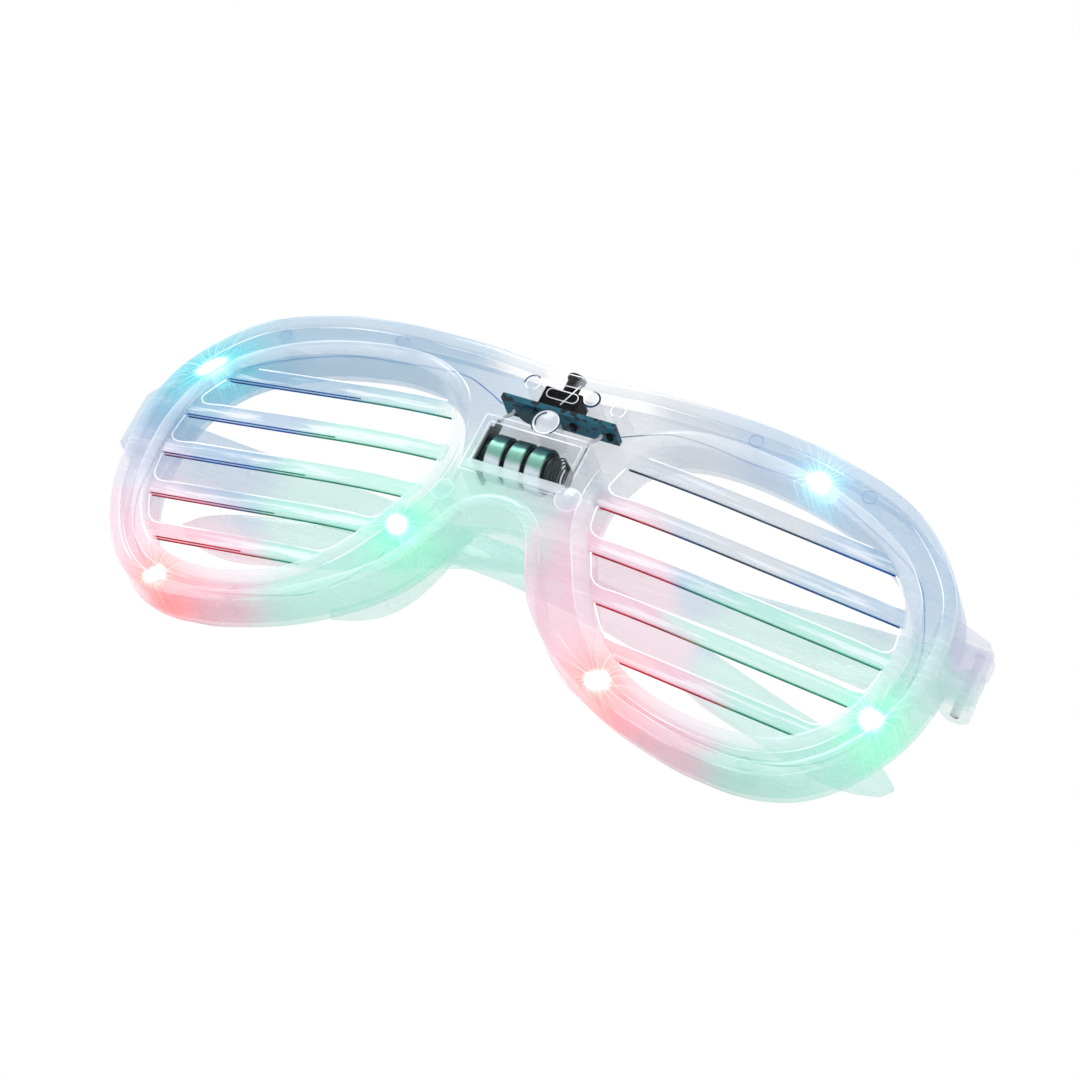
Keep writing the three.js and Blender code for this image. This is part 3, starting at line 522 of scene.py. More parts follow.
def make_lamp_light():
    """A node group: the plastic's tint at a place, and the halo and the white core round each lamp."""
    tree = bpy.data.node_groups.new("lamp_light", "ShaderNodeTree")
    tree.interface.new_socket("Shift", in_out="INPUT", socket_type="NodeSocketVector")
    for output, kind in (("Tint", "Color"), ("Deep", "Color"), ("Halo", "Float"), ("Core", "Float")):
        tree.interface.new_socket(output, in_out="OUTPUT", socket_type=f"NodeSocket{kind}")
    web = Web(tree)
    shift = web.add("NodeGroupInput").outputs["Shift"]
    place = web.vector("ADD", web.place(), shift)
    wander = web.noise(place, 90.0, 1.0, output="Color")
    wandering = web.vector("ADD", place, web.scale(web.vector("SUBTRACT", wander, (0.5, 0.5, 0.5)), 0.006))
    tint, deep = BLUE, DEEP[BLUE]
    for (x, z), (across, up), colour, softness in ZONES:
        centre = (x * HALF_WIDTH / 1000, 0, z * HEIGHT / 1000)
        scaling = (1000 / (across * HALF_WIDTH), 0, 1000 / (up * HEIGHT))
        far = web.measure("LENGTH", web.vector("MULTIPLY", web.vector("SUBTRACT", wandering, centre), scaling))
        share = web.ramp(far, 1 + softness / 2, 1 - softness / 2)
        tint, deep = web.mix(share, tint, colour), web.mix(share, deep, DEEP[colour])
    halo, core = 0.0, 0.0
    for lamp, (colour, size, core_size, drawn) in zip(scaled(LAMPS), HALOS):
        away = web.vector("MULTIPLY", web.vector("SUBTRACT", place, halo_centre(lamp)), (1, 0.6, 1))
        if drawn:
            along = web.measure("DOT_PRODUCT", away, drawn)
            away = web.vector("SUBTRACT", away, web.scale(drawn, web.times(along, 0.5)))
        gap = web.measure("LENGTH", away)
        parts = web.add("ShaderNodeSeparateXYZ", {0: away}).outputs
        angle = web.math("ARCTAN2", parts[2], parts[0])
        rays = 0.0
        for count, start, thinness in RAYS:
            wave = web.math("SINE", web.line(angle, count, start))
            rays = web.plus(rays, web.math("POWER", web.math("ABSOLUTE", wave), thinness))
        ratio = web.math("DIVIDE", gap, size)
        near = web.math("EXPONENT", web.times(web.times(ratio, ratio), -0.7))
        ratio = web.math("DIVIDE", gap, core_size)
        fading = web.math("EXPONENT", web.times(ratio, -0.8))
        middle = web.math("EXPONENT", web.times(web.math("POWER", ratio, 4.0), -1.0))
        middle = web.line(web.times(rays, fading), 0.4, middle)
        tint = web.mix(near, tint, colour)
        halo, core = web.plus(halo, near), web.plus(core, middle)
    web.add("NodeGroupOutput", {"Tint": tint, "Deep": deep, "Halo": halo, "Core": core})
    return tree


lamp_light = make_lamp_light()


def start_material(name):
    material = bpy.data.materials.new(name)
    material.use_nodes = True
    material.node_tree.nodes.clear()
    return material, Web(material.node_tree)


# Where the plastic is clearer, over the box with the board and over the button: centre in metres, reach in mm
BRIDGE_WINDOW = (0, 0, 0.0470), (18.5, 16.5)
BUTTON_WINDOW = (-0.0008, 0, 0.0560), (3.4, 5.0)
# How the plastic's streaks are drawn out, the painted glow it gives off all over, and the white of its painted
# highlights and of the lamps' painted cores
STREAK_SCALE = (60, 160, 900)
PAINTED_BODY_GLOW = 0.16
PAINTED_SHINE = (0.93, 0.95, 0.98)
CORE_LIGHT = (1.6, 1.6, 1.6)


def clearing(web, place, amount, centre, reach):
    """Less cover over what lies behind, where the plastic is polished."""
    away = web.vector("MULTIPLY", web.vector("SUBTRACT", place, centre), (1000 / reach[0], 0, 1000 / reach[1]))
    return web.ramp(web.measure("LENGTH", away), 0.80, 1.15, low=1 - amount)


def slat_middle(web, place):
    """1 along the middle of each slat, falling to 0 towards its edges."""
    level = web.times(web.math("SUBTRACT", web.height(place), SLAT_LOW / 1000), 1000 / SLAT_PITCH)
    level = web.times(web.math("FRACT", level), SLAT_PITCH / SLAT_HEIGHT)
    return web.ramp(web.math("ABSOLUTE", web.math("SUBTRACT", level, 0.42)), 0.12, 0.42, 1.0, 0.0)


def clear_plastic(name, clearness, edge, shift=(0, 0, 0), polish=0.985, streaks=0.0, white=0.0,
                  button_polish=0.0):
    """Clear plastic that takes up the lamps' light: see-through face on, denser towards its edges.

    The two polishes say how much cover its windows take away, and streaks and white how much painted white
    highlight it shows.
    It also has a painted white sheen towards grazing edges, and painted glow: a faint one all over, in the
    halo colours round the lamps, and white in their cores.
    """
    material, web = start_material(name)
    light = web.add("ShaderNodeGroup", node_tree=lamp_light)
    light.inputs["Shift"].default_value = shift
    halo, core = light.outputs["Halo"], light.outputs["Core"]
    place = web.place()
    streak = web.noise(web.vector("MULTIPLY", place, STREAK_SCALE), 1.0, 3.0)
    facing = web.add("ShaderNodeLayerWeight", {"Blend": 0.3}).outputs["Facing"]
    alpha = web.line(web.math("POWER", facing, 2.0), edge - clearness, clearness)
    alpha = web.plus(alpha, web.line(streak, 0.14, -0.07))
    # Painted highlights: white streaks, kept to the middle of the slats where streaks are set
    painted_shine = web.ramp(streak, 0.56 - 0.10 * streaks, 0.70 - 0.10 * streaks)
    painted_shine = web.times(painted_shine, 0.25 + 0.50 * streaks)
    if streaks:
        painted_shine = web.times(painted_shine, slat_middle(web, place))
    # Painted sheen: white towards grazing edges
    painted_shine = web.math("MAXIMUM", painted_shine, web.times(web.math("POWER", facing, 5.0), 0.8))
    alpha = web.plus(alpha, web.times(painted_shine, 0.35))
    alpha = web.times(alpha, clearing(web, place, polish, *BRIDGE_WINDOW))
    if button_polish:
        alpha = web.times(alpha, clearing(web, place, button_polish, *BUTTON_WINDOW))
    alpha = web.plus(web.line(halo, 0.35, alpha), core)
    alpha = web.math("MINIMUM", web.math("MAXIMUM", alpha, 0.004), 1.0)
    away_from_lamps = web.math("MAXIMUM", web.math("SUBTRACT", 1.0, halo), 0.0)
    # Painted white cast, kept off the lamps' halos
    whiteness = web.times(web.math("MAXIMUM", painted_shine, white), away_from_lamps)
    base = web.mix(whiteness, light.outputs["Tint"], PAINTED_SHINE)
    # Painted glow: the plastic gives off its own tint, more round the lamps, and white in their cores
    glow = web.scale(base, web.line(halo, 0.35, PAINTED_BODY_GLOW))
    shown = web.vector("ADD", glow, web.scale(CORE_LIGHT, core))
    web.shade({
        "Base Color": base, "Alpha": alpha, "Emission Color": shown, "Emission Strength": 1.0, "IOR": 1.49,
        "Roughness": web.line(streak, 0.1, 0.07), "Coat Weight": 0.5, "Coat Roughness": 0.04,
        "Normal": web.bump(web.noise(place, 700.0, 2.0), 0.06, 0.0002),
    })
    return material


def line_material(name, strength, depth):
    """The dark line of a wire, or the painted shade along an edge, a deep shade of the tint at its place."""
    material, web = start_material(name)
    light = web.add("ShaderNodeGroup", node_tree=lamp_light)
    noise = web.noise(web.place(), 350.0, 3.0)
    base = web.scale(light.outputs["Deep"], web.times(noise, 2 * depth))
    web.shade({
        "Base Color": base, "Roughness": 0.6, "Alpha": strength, "Specular IOR Level": 0.1,
        "Emission Color": base, "Emission Strength": 0.4,
    })
    return material


def painted_highlight(name, strength):
    """A painted highlight: the bright line where light leaves the plastic's edge, with a little glow."""
    material, web = start_material(name)
    alpha = web.line(web.noise(web.place(), 75.0, 2.0), 2.4, strength - 1.2)
    web.shade({
        "Base Color": (0.96, 0.97, 0.99, 1), "Roughness": 0.15,
        "Alpha": web.math("MAXIMUM", web.math("MINIMUM", alpha, 1.0), 0.03),
        "Emission Color": (0.94, 0.95, 0.97, 1), "Emission Strength": 0.45,
    })
    return material


def solid_material(name, colour, roughness, metallic=0.0, grain=1200.0, depth=0.08, specular=0.5, specks=None):
    """An opaque material whose colour and roughness vary a little, with specks of another colour if given."""
    material, web = start_material(name)
    place = web.place()
    noise = web.noise(place, grain, 4.0)
    tinted = web.scale(colour, web.line(noise, 2 * depth, 1 - depth))
    if specks:
        spots = web.ramp(web.noise(place, 850.0, 0.0), 0.60, 0.66, curve="LINEAR")
        tinted = web.mix(spots, tinted, specks)
    web.shade({
        "Base Color": tinted, "Roughness": web.line(noise, 0.16, roughness - 0.08),
        "Metallic": metallic, "Normal": web.bump(noise, 0.05, 0.0001), "Specular IOR Level": specular,
    })
    return material


def cell_steel(name, centre_z, radius):
    """Polished steel of the cells, with painted reflection: painted dark shade where the can turns up and a
    painted bright reflection where it turns down.
    """
    material, web = start_material(name)
    place = web.place()
    noise = web.noise(place, 420.0, 3.0)
    level = web.math("SUBTRACT", web.height(place), centre_z)
    level = web.line(noise, 0.3, web.math("DIVIDE", level, radius))
    # Painted shade on the top of each can and painted reflection on its underside
    painted_top_shade = web.mix(web.ramp(level, 0.30, 0.46, curve="LINEAR"), (0.19, 0.42, 0.34), (0.010, 0.060, 0.070))
    base = web.mix(web.ramp(level, -0.15, -0.40, curve="LINEAR"), painted_top_shade, (0.80, 0.84, 0.90))
    web.shade({"Base Color": base, "Roughness": web.line(noise, 0.2, 0.34), "Metallic": 0.7})
    return material


def lamp_material(name, colour, strength):
    """A lit lamp: a white-hot middle and a coloured rim."""
    material, web = start_material(name)
    noise = web.noise(web.place(), 700.0, 2.0)
    web.shade({
        "Base Color": (*colour, 1), "Emission Color": (*[0.55 + 0.45 * c for c in colour], 1),
        "Roughness": 0.2, "Emission Strength": web.line(noise, 0.4 * strength, 0.8 * strength),
    })
    return material


# White sets each plastic's painted white cast, strongest on the rings, the boss faces and the box ledge, and
# streaks sets painted white streak highlights on the slats
shell_plastic = clear_plastic("shell_plastic", 0.22, 0.80)
bead_plastic = clear_plastic("bead_plastic", 0.45, 0.90, polish=0.15, white=0.14, button_polish=0.92)
ring_plastic = clear_plastic("ring_plastic", 0.36, 0.85, white=0.70)
back_plastic = clear_plastic("back_plastic", 0.30, 0.80, polish=0)
post_plastic = clear_plastic("post_plastic", 0.05, 0.30, polish=0)
face_plastic = clear_plastic("face_plastic", 0.50, 0.80, polish=0, white=0.5)
slat_plastic = clear_plastic("slat_plastic", 0.45, 0.85, streaks=1.0)
temple_plastic = {
    word: clear_plastic(f"{word}_temple_plastic", 0.32, 0.7, shift=(shift, 0, -shift), polish=0)
    for word, shift in (("left", 0.010), ("right", 0.006))
}
box_plastic = clear_plastic("box_plastic", 0.16, 0.62, polish=0, white=0.3)
door_plastic = clear_plastic("door_plastic", 0.20, 0.6, polish=0.8)
painted_shade_line = line_material("painted_shade_line", 1.0, 1.0)
wire_line = line_material("wire_line", 0.5, 2.0)
white_highlight = painted_highlight("white_highlight", 0.50)
box_highlight = painted_highlight("box_highlight", 0.38)
switch_white_line = painted_highlight("switch_white_line", 0.70)
faint_highlight = painted_highlight("faint_highlight", 0.18)
pale_steel = solid_material("pale_steel", (0.80, 0.82, 0.82), 0.3, metallic=0.6)
dark_steel = solid_material("dark_steel", (0.030, 0.045, 0.045), 0.3, metallic=0.7)
board_mask = solid_material("board_mask", (0.005, 0.100, 0.150), 0.4, depth=0.5, grain=500.0, specular=0.15,
                            specks=(0.008, 0.010, 0.012))
board_epoxy = solid_material("board_epoxy", (0.004, 0.040, 0.060), 0.3, specular=0.2)
black_plastic = solid_material("black_plastic", (0.001, 0.001, 0.0015), 0.35, specular=0.04)
gasket = solid_material("gasket", (0.004, 0.008, 0.006), 0.4, specular=0.15)
pale_wire = solid_material("pale_wire", (0.62, 0.63, 0.63), 0.4)

# Front shell: the plate with its rim bead, the rings round the openings and the walls behind them
WALL_PROFILE = [
    (0, 3.0), (0, FRONT_DEPTH - 0.2), (0.2, FRONT_DEPTH), (WALL - 0.2, FRONT_DEPTH), (WALL, FRONT_DEPTH - 0.2),
    (WALL, WALL + 0.3), (WALL + 0.2, WALL + 0.05), (WALL + 0.5, WALL),
]
rim_profile = [(2.9, 0)] + bead(2.3, 0.65) + WALL_PROFILE + [(2.9, WALL)]
ring_profile = [(3.0, 0)] + bead(2.6, 1.0) + WALL_PROFILE + [(3.0, WALL)]
front_moulding = make("front_moulding", *plate_with_openings(rim_profile, ring_profile), shell_plastic,
                      replaces=["front_shell"])
front_moulding.data.materials.append(bead_plastic)
front_moulding.data.materials.append(ring_plastic)
rim_faces = RIM_STEPS * (len(rim_profile) - 1)
# A face that stands proud of the plate belongs to a bead
for face in front_moulding.data.polygons:
    centre = face.center * 1000
    if centre.y - OFFSET_Y - wrap(centre.x) < -0.03:
        face.material_index = 1 if face.index < rim_faces else 2

# Back shell: the flat plate behind
back_profile = [(1.6, BACK_NEAR), (0.2, BACK_NEAR), (0, BACK_NEAR + 0.2), (0, BACK_FAR - 0.25),
                (0.1, BACK_FAR - 0.08), (0.3, BACK_FAR), (1.6, BACK_FAR)]
make("back_moulding", *plate_with_openings(back_profile, back_profile), back_plastic, replaces=["back_shell"])

# Pegs, pillars and posts of the front shell at (x, z), and bosses of the back shell with (x, z, radius)
BOSSES = [(-0.702, 46.179, 2.1), (9.09, 33.987, 2.1), (-11.676, 29.587, 1.8)]
PILLARS = [(-5.764, 52.11), (4.877, 52.11), (9.977, 51.53)]
POSTS = scaled([
    (-0.747, 0.908), (-0.440, 0.948), (-0.514, 0.045), (0.440, 0.948), (0.708, 0.919), (0.723, 0.047),
])


def turned(name, x, z, profile, material, **settings):
    """A turned piece along Y at (x, z), with its distances counted from the wrapped face."""
    return make(name, *lathe(profile, 32, (x, wrap(x), z), (0, 1, 0)), material, **settings)


for number, (x, z, radius) in enumerate(BOSSES, 1):
    turned(f"boss_tube_{number}", x, z, [
        (0, 5.1), (1.2, 5.1), (1.2, 1.7), (1.35, 1.5), (radius - 0.2, 1.5), (radius, 1.7), (radius, 8.3),
        (0, 8.3),
    ], box_plastic)
    turned(f"boss_peg_{number}", x, z, [(0, 1.1), (0.9, 1.1), (0.9, 4.55), (0.7, 4.8), (0, 4.8)], box_plastic)
for kind, radius, places in (("pillar", 1.3, PILLARS), ("post", 1.1, POSTS)):
    for number, (x, z) in enumerate(places, 1):
        profile = [(0, 0.7), (radius, 0.7), (radius, 6.6), (radius - 0.3, FRONT_DEPTH), (0, FRONT_DEPTH)]
        turned(f"{kind}_{number}", x, z, profile, post_plastic)


def strip(path, width, height):
    """A thin bar with a rectangular section along a path of (x, depth, z) points."""
    corners = ((0, 0), (width, 0), (width, height), (0, height))
    rings = [[(x, wrap(x) + d + back, z + up) for back, up in corners] for x, d, z in path]
    return rings_to_mesh(rings, caps=True)


def gathered(name, parts, material, **settings):
    """One piece from several separate parts."""
    points, faces = [], []
    for part_points, part_faces in parts:
        faces += [tuple(len(points) + k for k in face) for face in part_faces]
        points += part_points
    return make(name, points, faces, material, **settings)


def wrapped_line(path, radius, sides=8):
    """A thin round line along a path of (x, depth, z) points."""
    return tube_points([(x, wrap(x) + d, z) for x, d, z in path], radius, sides)


def arc_line(x, z, radius, depth, start, end, thickness):
    """A thin line round part of a circle on the wrapped face, from one angle to another in degrees."""
    angles = np.radians(np.linspace(start, end, max(6, int(abs(end - start) / 9))))
    path = [(x + radius * math.cos(a), depth, z + radius * math.sin(a)) for a in angles]
    return wrapped_line(path, thickness, 6)


# Faces of the bosses, and the painted highlight lines and painted shade lines round the bosses, pillars and
# posts
for number, (x, z, radius) in enumerate(BOSSES, 1):
    turned(f"boss_face_{number}", x, z,
           [(0, 1.28), (radius - 0.1, 1.28), (radius, 1.34), (radius, 1.5), (0, 1.5)], face_plastic)
ring_highlight_lines = [arc_line(x, z, radius + 0.05, 1.3, 0, 360, 0.10) for x, z, radius in BOSSES]
ring_highlight_lines += [arc_line(x, z, 1.2, 0.62, -60, 250, 0.12) for x, z in PILLARS]
gathered("round_edge_highlights", ring_highlight_lines, white_highlight)
shade_lines = [arc_line(*BOSSES[0][:2], radius, 1.25, start, end, 0.11)
               for radius, start, end in ((2.42, 95, 235), (1.75, 110, 215), (2.36, -50, 20))]
shade_lines += [arc_line(*place, 1.42, 0.66, start, end, 0.17)
                for place, start, end in ((PILLARS[0], 60, 190), (PILLARS[1], -120, 100))]
gathered("round_edge_painted_shade", shade_lines, painted_shade_line)
gathered("post_painted_shade_edges", [arc_line(x, z, 1.1, 0.66, 0, 330, 0.06) for x, z in POSTS], wire_line)

# Battery box with its ledge and door boss
BOX_LEFT, BOX_RIGHT = -11.048, 8.152
BOX_LOW, BOX_HIGH = 34.229, 45.029
BOX_NEAR, BOX_FAR = 1.907, 10.027
BOX_WALL = 1.15
DOOR_BOSS = (9.552, 0, 40.829)


def box_loop(wall):
    """The battery box's outline, moved inwards by a wall."""
    return rounded_rectangle(BOX_LEFT + wall, BOX_RIGHT - wall, BOX_LOW + wall, BOX_HIGH - wall, 0.3)


make("battery_box", *rounded_frame(box_loop(0), box_loop(BOX_WALL), BOX_NEAR, BOX_FAR), box_plastic)
# Painted highlight lines along the box's front edges and its back inner edge
box_edge_highlights = []
for wall, y in ((0, BOX_NEAR), (BOX_WALL, BOX_NEAR), (BOX_WALL, BOX_FAR - 1.2)):
    around = [(x, y, z) for x, z in box_loop(wall)]
    box_edge_highlights.append(tube_points(around + around[:2], 0.13, 6))
gathered("box_edge_highlights", box_edge_highlights, box_highlight)
ledge = rounded_rectangle(BOX_LEFT + 0.4, BOX_RIGHT - 0.4, BOX_LOW + 0.3, BOX_LOW + 1.9, 0.4)
ledge_rings = [[(x, y, z) for x, z in ledge] for y in (1.35, BOX_NEAR - 0.02)]
make("box_ledge", *rings_to_mesh(ledge_rings, caps=True), face_plastic)
door_profile = [
    (0, 7.98), (1.15, 7.98), (1.15, 10.0), (1.5, BOX_FAR), (1.7, 9.8), (1.7, 7.0), (1.5, 6.83), (0, 6.83),
]
make("door_boss", *lathe(door_profile, 32, DOOR_BOSS, (0, 1, 0)), box_plastic)

# Skirts that rest on the nose, along a stretch of the rim on each side
SKIRT_START, SKIRT_END = 0.074 * HALF_WIDTH, 0.311 * HALF_WIDTH
SKIRT_TOP = 26.5
SKIRT_HEIGHT = 4.0
inner_rim = offset(RIM, -1.5)
for side, word in ((-1, "left"), (1, "right")):
    rings = []
    for (x, z), (x2, z2) in zip(RIM, inner_rim):
        if not (SKIRT_START < side * x < SKIRT_END and z < SKIRT_TOP):
            continue
        reach = math.sin(math.pi * (side * x - SKIRT_START) / (SKIRT_END - SKIRT_START))
        near, far = wrap(x) + BACK_FAR - 0.5, wrap(x) + BACK_FAR + SKIRT_HEIGHT * reach
        corners = ((0, near), (0, far - 0.2), (0.1, far), (0.9, far), (1, far - 0.2), (1, near))
        rings.append([(x + (x2 - x) * share, y, z + (z2 - z) * share) for share, y in corners])
    make(f"nose_skirt_{word}", *rings_to_mesh(rings, caps=True), shell_plastic)

# Blocks at the ends of the front, and the prongs behind them
BLOCK_ROOT = HALF_WIDTH - 3.7
BLOCK_END = HINGE_X + 3.0
PRONG_RADIUS = 2.6
PRONG_HEIGHT = 3.0
for side, word in ((-1, "left"), (1, "right")):
    block = [
        (BLOCK_ROOT, wrap(BLOCK_ROOT) + 0.6), (HALF_WIDTH - 0.4, wrap(HALF_WIDTH) + 0.4),
        (BLOCK_END, wrap(BLOCK_END) + 3.9), (BLOCK_END, wrap(BLOCK_END) + FRONT_DEPTH),
        (BLOCK_ROOT, wrap(BLOCK_ROOT) + FRONT_DEPTH),
    ]
    shelf = [(x, wrap(x) + depth) for x, depth in (
        (BLOCK_ROOT, BACK_NEAR), (BLOCK_END, BACK_NEAR), (BLOCK_END, BACK_FAR), (BLOCK_ROOT, BACK_FAR))]
    for name, outline, width in (("end_block", block, 0.6), ("hinge_shelf", shelf, 0.3)):
        prism = upright([(side * x, y) for x, y in outline], HINGE_LOW, HINGE_HIGH)
        bevel(make(f"{name}_{word}", *prism, shell_plastic), width)
    x, foot = side * HINGE_X, wrap(HINGE_X) + BACK_FAR - 0.6
    arch = [(x - PRONG_RADIUS * math.cos(a), HINGE_Y + PRONG_RADIUS * math.sin(a))
            for a in np.linspace(0, math.pi, 17)]
    outline = [(x - PRONG_RADIUS, foot)] + arch + [(x + PRONG_RADIUS, foot)]
    for level, low in (("low", HINGE_LOW), ("high", HINGE_HIGH - PRONG_HEIGHT)):
        prong = upright(outline, low, low + PRONG_HEIGHT)
        bevel(make(f"hinge_prong_{word}_{level}", *prong, shell_plastic), 0.3)

# Slats, moulded on to the rings at both ends
SLAT_NEAR, SLAT_DEPTH = 0.4, 1.0


def crossings(loop, z):
    """Where a loop crosses a height, from the left to the right."""
    sides = zip(loop, np.roll(loop, -1, axis=0))
    found = [ax + (bx - ax) * (z - az) / (bz - az) for (ax, az), (bx, bz) in sides if (az > z) != (bz > z)]
    return min(found), max(found)


for word, loop in OPENINGS.items():
    wider = offset(loop, 0.03)
    for index in range(SLAT_COUNT):
        low = SLAT_LOW + (SLAT_COUNT - 1 - index) * SLAT_PITCH
        section = rounded_rectangle(SLAT_NEAR, SLAT_NEAR + SLAT_DEPTH, low, low + SLAT_HEIGHT, 0.22, 4)
        ends = [crossings(wider, z) for _, z in section]
        rings = []
        for t in np.linspace(0, 1, 41):
            across = [left + t * (right - left) for left, right in ends]
            rings.append([(x, wrap(x) + depth, z) for x, (depth, z) in zip(across, section)])
        make(f"slat_bar_{word}_{index + 1}", *rings_to_mesh(rings, caps=True), slat_plastic,
             replaces=[f"slat_{word}_{index + 1}"])

# Lines of the slats: painted shade along each lower edge, and a painted highlight round the foot of each gap
for word, loop in OPENINGS.items():
    inner = offset(loop, -0.32)
    dark, bright = [], []
    for index in range(SLAT_COUNT):
        low = SLAT_LOW + index * SLAT_PITCH
        left, right = crossings(inner, low)
        marks = np.linspace(left + 0.2, right - 0.2, 40)
        width = 0.5 if word == "right" else 0.36
        dark.append(strip([(x, SLAT_NEAR + SLAT_DEPTH - width, low - 0.05) for x in marks], width, 0.17))
        if word == "left":
            marks = np.linspace(left + 0.2, left + 0.6 * (right - left), 24)
            dark.append(strip([(x, SLAT_NEAR - 0.03, low - 0.03) for x in marks], 0.17, 0.16))
        top = low + SLAT_HEIGHT
        ceiling = min(low + SLAT_PITCH - 0.3, max(loop[:, 1]) - 0.6)
        left, right = crossings(inner, top + 0.1)
        path = [(x, 0.45, top - 0.05) for x in np.linspace(left + 1.1, right - 1.1, 12)]
        if index < SLAT_COUNT - 1:
            heights = np.linspace(ceiling, top + 0.9, 4)
            path = [(crossings(inner, z)[0] + 0.05, 0.36, z) for z in heights] + path
            path += [(crossings(inner, z)[1] - 0.05, 0.36, z) for z in heights[::-1]]
        bright.append(wrapped_line(smooth(path, 90), 0.11))
    gathered(f"slat_painted_shade_lines_{word}", dark, painted_shade_line)
    gathered(f"slat_top_highlights_{word}", bright, white_highlight)

# Fine painted highlight lines along the rim's edge and along the feet of its bead and of both rings
foot_lines = []
for loop, distance, depth in (
    (RIM, -2.35, -0.03), (RIM, -0.25, -0.25), (LEFT_OPENING, 2.6, -0.03), (RIGHT_OPENING, 2.6, -0.03),
):
    around = [(x, depth, z) for x, z in offset(loop, distance)[::2]]
    foot_lines.append(wrapped_line(around + around[:2], 0.10, 6))
gathered("bead_feet_highlights", foot_lines, faint_highlight)

# Temples: the outline of an arm from its hinge, as shares of the length and of the height at the root
TEMPLE_LENGTH, TEMPLE_ROOT = 138.3, 11.2
TEMPLE_START = 3.3
TEMPLE_TOP = [
    (0.289, 0.464), (0.506, 0.464), (0.607, 0.400), (0.658, 0.260), (0.709, 0.090), (0.752, -0.060),
    (0.795, -0.200), (0.846, -0.360), (0.897, -0.490), (0.940, -0.600), (0.978, -0.780), (1.000, -1.000),
]
TEMPLE_BOTTOM = [
    (0.988, -1.161), (0.959, -1.259), (0.926, -1.295), (0.893, -1.240), (0.853, -1.130), (0.803, -0.985),
    (0.765, -0.875), (0.747, -0.815), (0.729, -0.725), (0.701, -0.580), (0.660, -0.420), (0.627, -0.306),
    (0.596, -0.235), (0.550, -0.160), (0.500, -0.110), (0.448, -0.080), (0.376, -0.110), (0.289, -0.200),
    (0.202, -0.320), (0.101, -0.464),
]


def temple_loop():
    """The outline of an arm as (x, z) points round it."""
    top = smooth(scaled(TEMPLE_TOP, TEMPLE_LENGTH, TEMPLE_ROOT), 90, spread=0)
    bottom = smooth(scaled(TEMPLE_BOTTOM, TEMPLE_LENGTH, TEMPLE_ROOT), 90, spread=0)
    high = top[0][1]
    root_edge = [(TEMPLE_START, z) for z in np.linspace(high - TEMPLE_ROOT, high, 9)]
    lead_in = [(x, high) for x in np.linspace(TEMPLE_START, top[0][0], 12)[1:-1]]
    return np.concatenate([root_edge, lead_in, top, bottom])


# Each arm's fold and tilt are in degrees
loop = temple_loop()
for side, word, fold, tilt in ((-1, "left", 12, -1.6), (1, "right", 180, 0.9)):
    turn = Matrix.Translation((side * HINGE_X, HINGE_Y, HINGE_Z))
    turn = turn @ Matrix.Rotation(math.radians(fold), 4, "Z") @ Matrix.Rotation(math.radians(tilt), 4, "Y")
    rings = [[turn @ Vector((x, y, z)) for x, z in offset(loop, -inset)]
             for inset, y in ((0.5, -1.2), (0.15, -1.1), (0, -0.8), (0, 0.8), (0.15, 1.1), (0.5, 1.2))]
    plastic = temple_plastic[word]
    settings = dict(body=f"{word}_temple", slot="temple_plastic")
    make(f"temple_arm_{word}", *rings_to_mesh(rings, caps=True), plastic,
         replaces=[f"{word}_temple"], **settings)
    points, faces = box_points((1.6, -1.2, -2.1), (4.5, 1.2, 2.1))
    points = [turn @ Vector(p) for p in points]
    bevel(make(f"temple_neck_{word}", points, faces, plastic, **settings), 0.3)
    knuckle = [(1.1, -2.1), (2.2, -2.1), (2.4, -1.9), (2.4, 1.9), (2.2, 2.1), (1.1, 2.1)]
    sides = 32
    points, faces = lathe(knuckle, sides, turn @ Vector((0, 0, 0)), turn.to_3x3() @ Vector((0, 0, 1)))
    # The bore: the last ring is joined to the first in place of the two caps
    last = sides * (len(knuckle) - 1)
    faces = faces[:-2] + [(j, (j + 1) % sides, last + (j + 1) % sides, last + j) for j in range(sides)]
    make(f"temple_knuckle_{word}", points, faces, plastic, **settings)

# Lamps
DOMES = [
    ("lamp_cyan", (0.15, 0.85, 0.90)), ("lamp_red", (1.0, 0.25, 0.32)), ("lamp_green", (0.2, 0.95, 0.5)),
    ("lamp_blue", (0.35, 0.75, 1.0)), ("lamp_red", (1.0, 0.25, 0.30)), ("lamp_green", (0.2, 0.95, 0.45)),
]
DOME, DOME_BASE = 1.5, 2.9
dome_profile = [(1.2, 0), (1.75, 0.05), (1.75, 0.75), (1.55, 0.85), (DOME, 0.95), (DOME, DOME_BASE)]
dome_profile += [(DOME * math.cos(a), DOME_BASE + DOME * math.sin(a)) for a in np.linspace(0.15, 1.55, 9)]
for number, ((x, z), (slot, colour)) in enumerate(zip(scaled(LAMPS), DOMES), 1):
    dome = lathe(dome_profile, 24, (x, wrap(x) + BACK_NEAR - WALL, z), (0, -1, 0))
    make(f"lamp_dome_{number}", *dome, lamp_material(f"lamp_{number}", colour, 0.9), slot=slot,
         replaces=[f"lamp_{number}"])

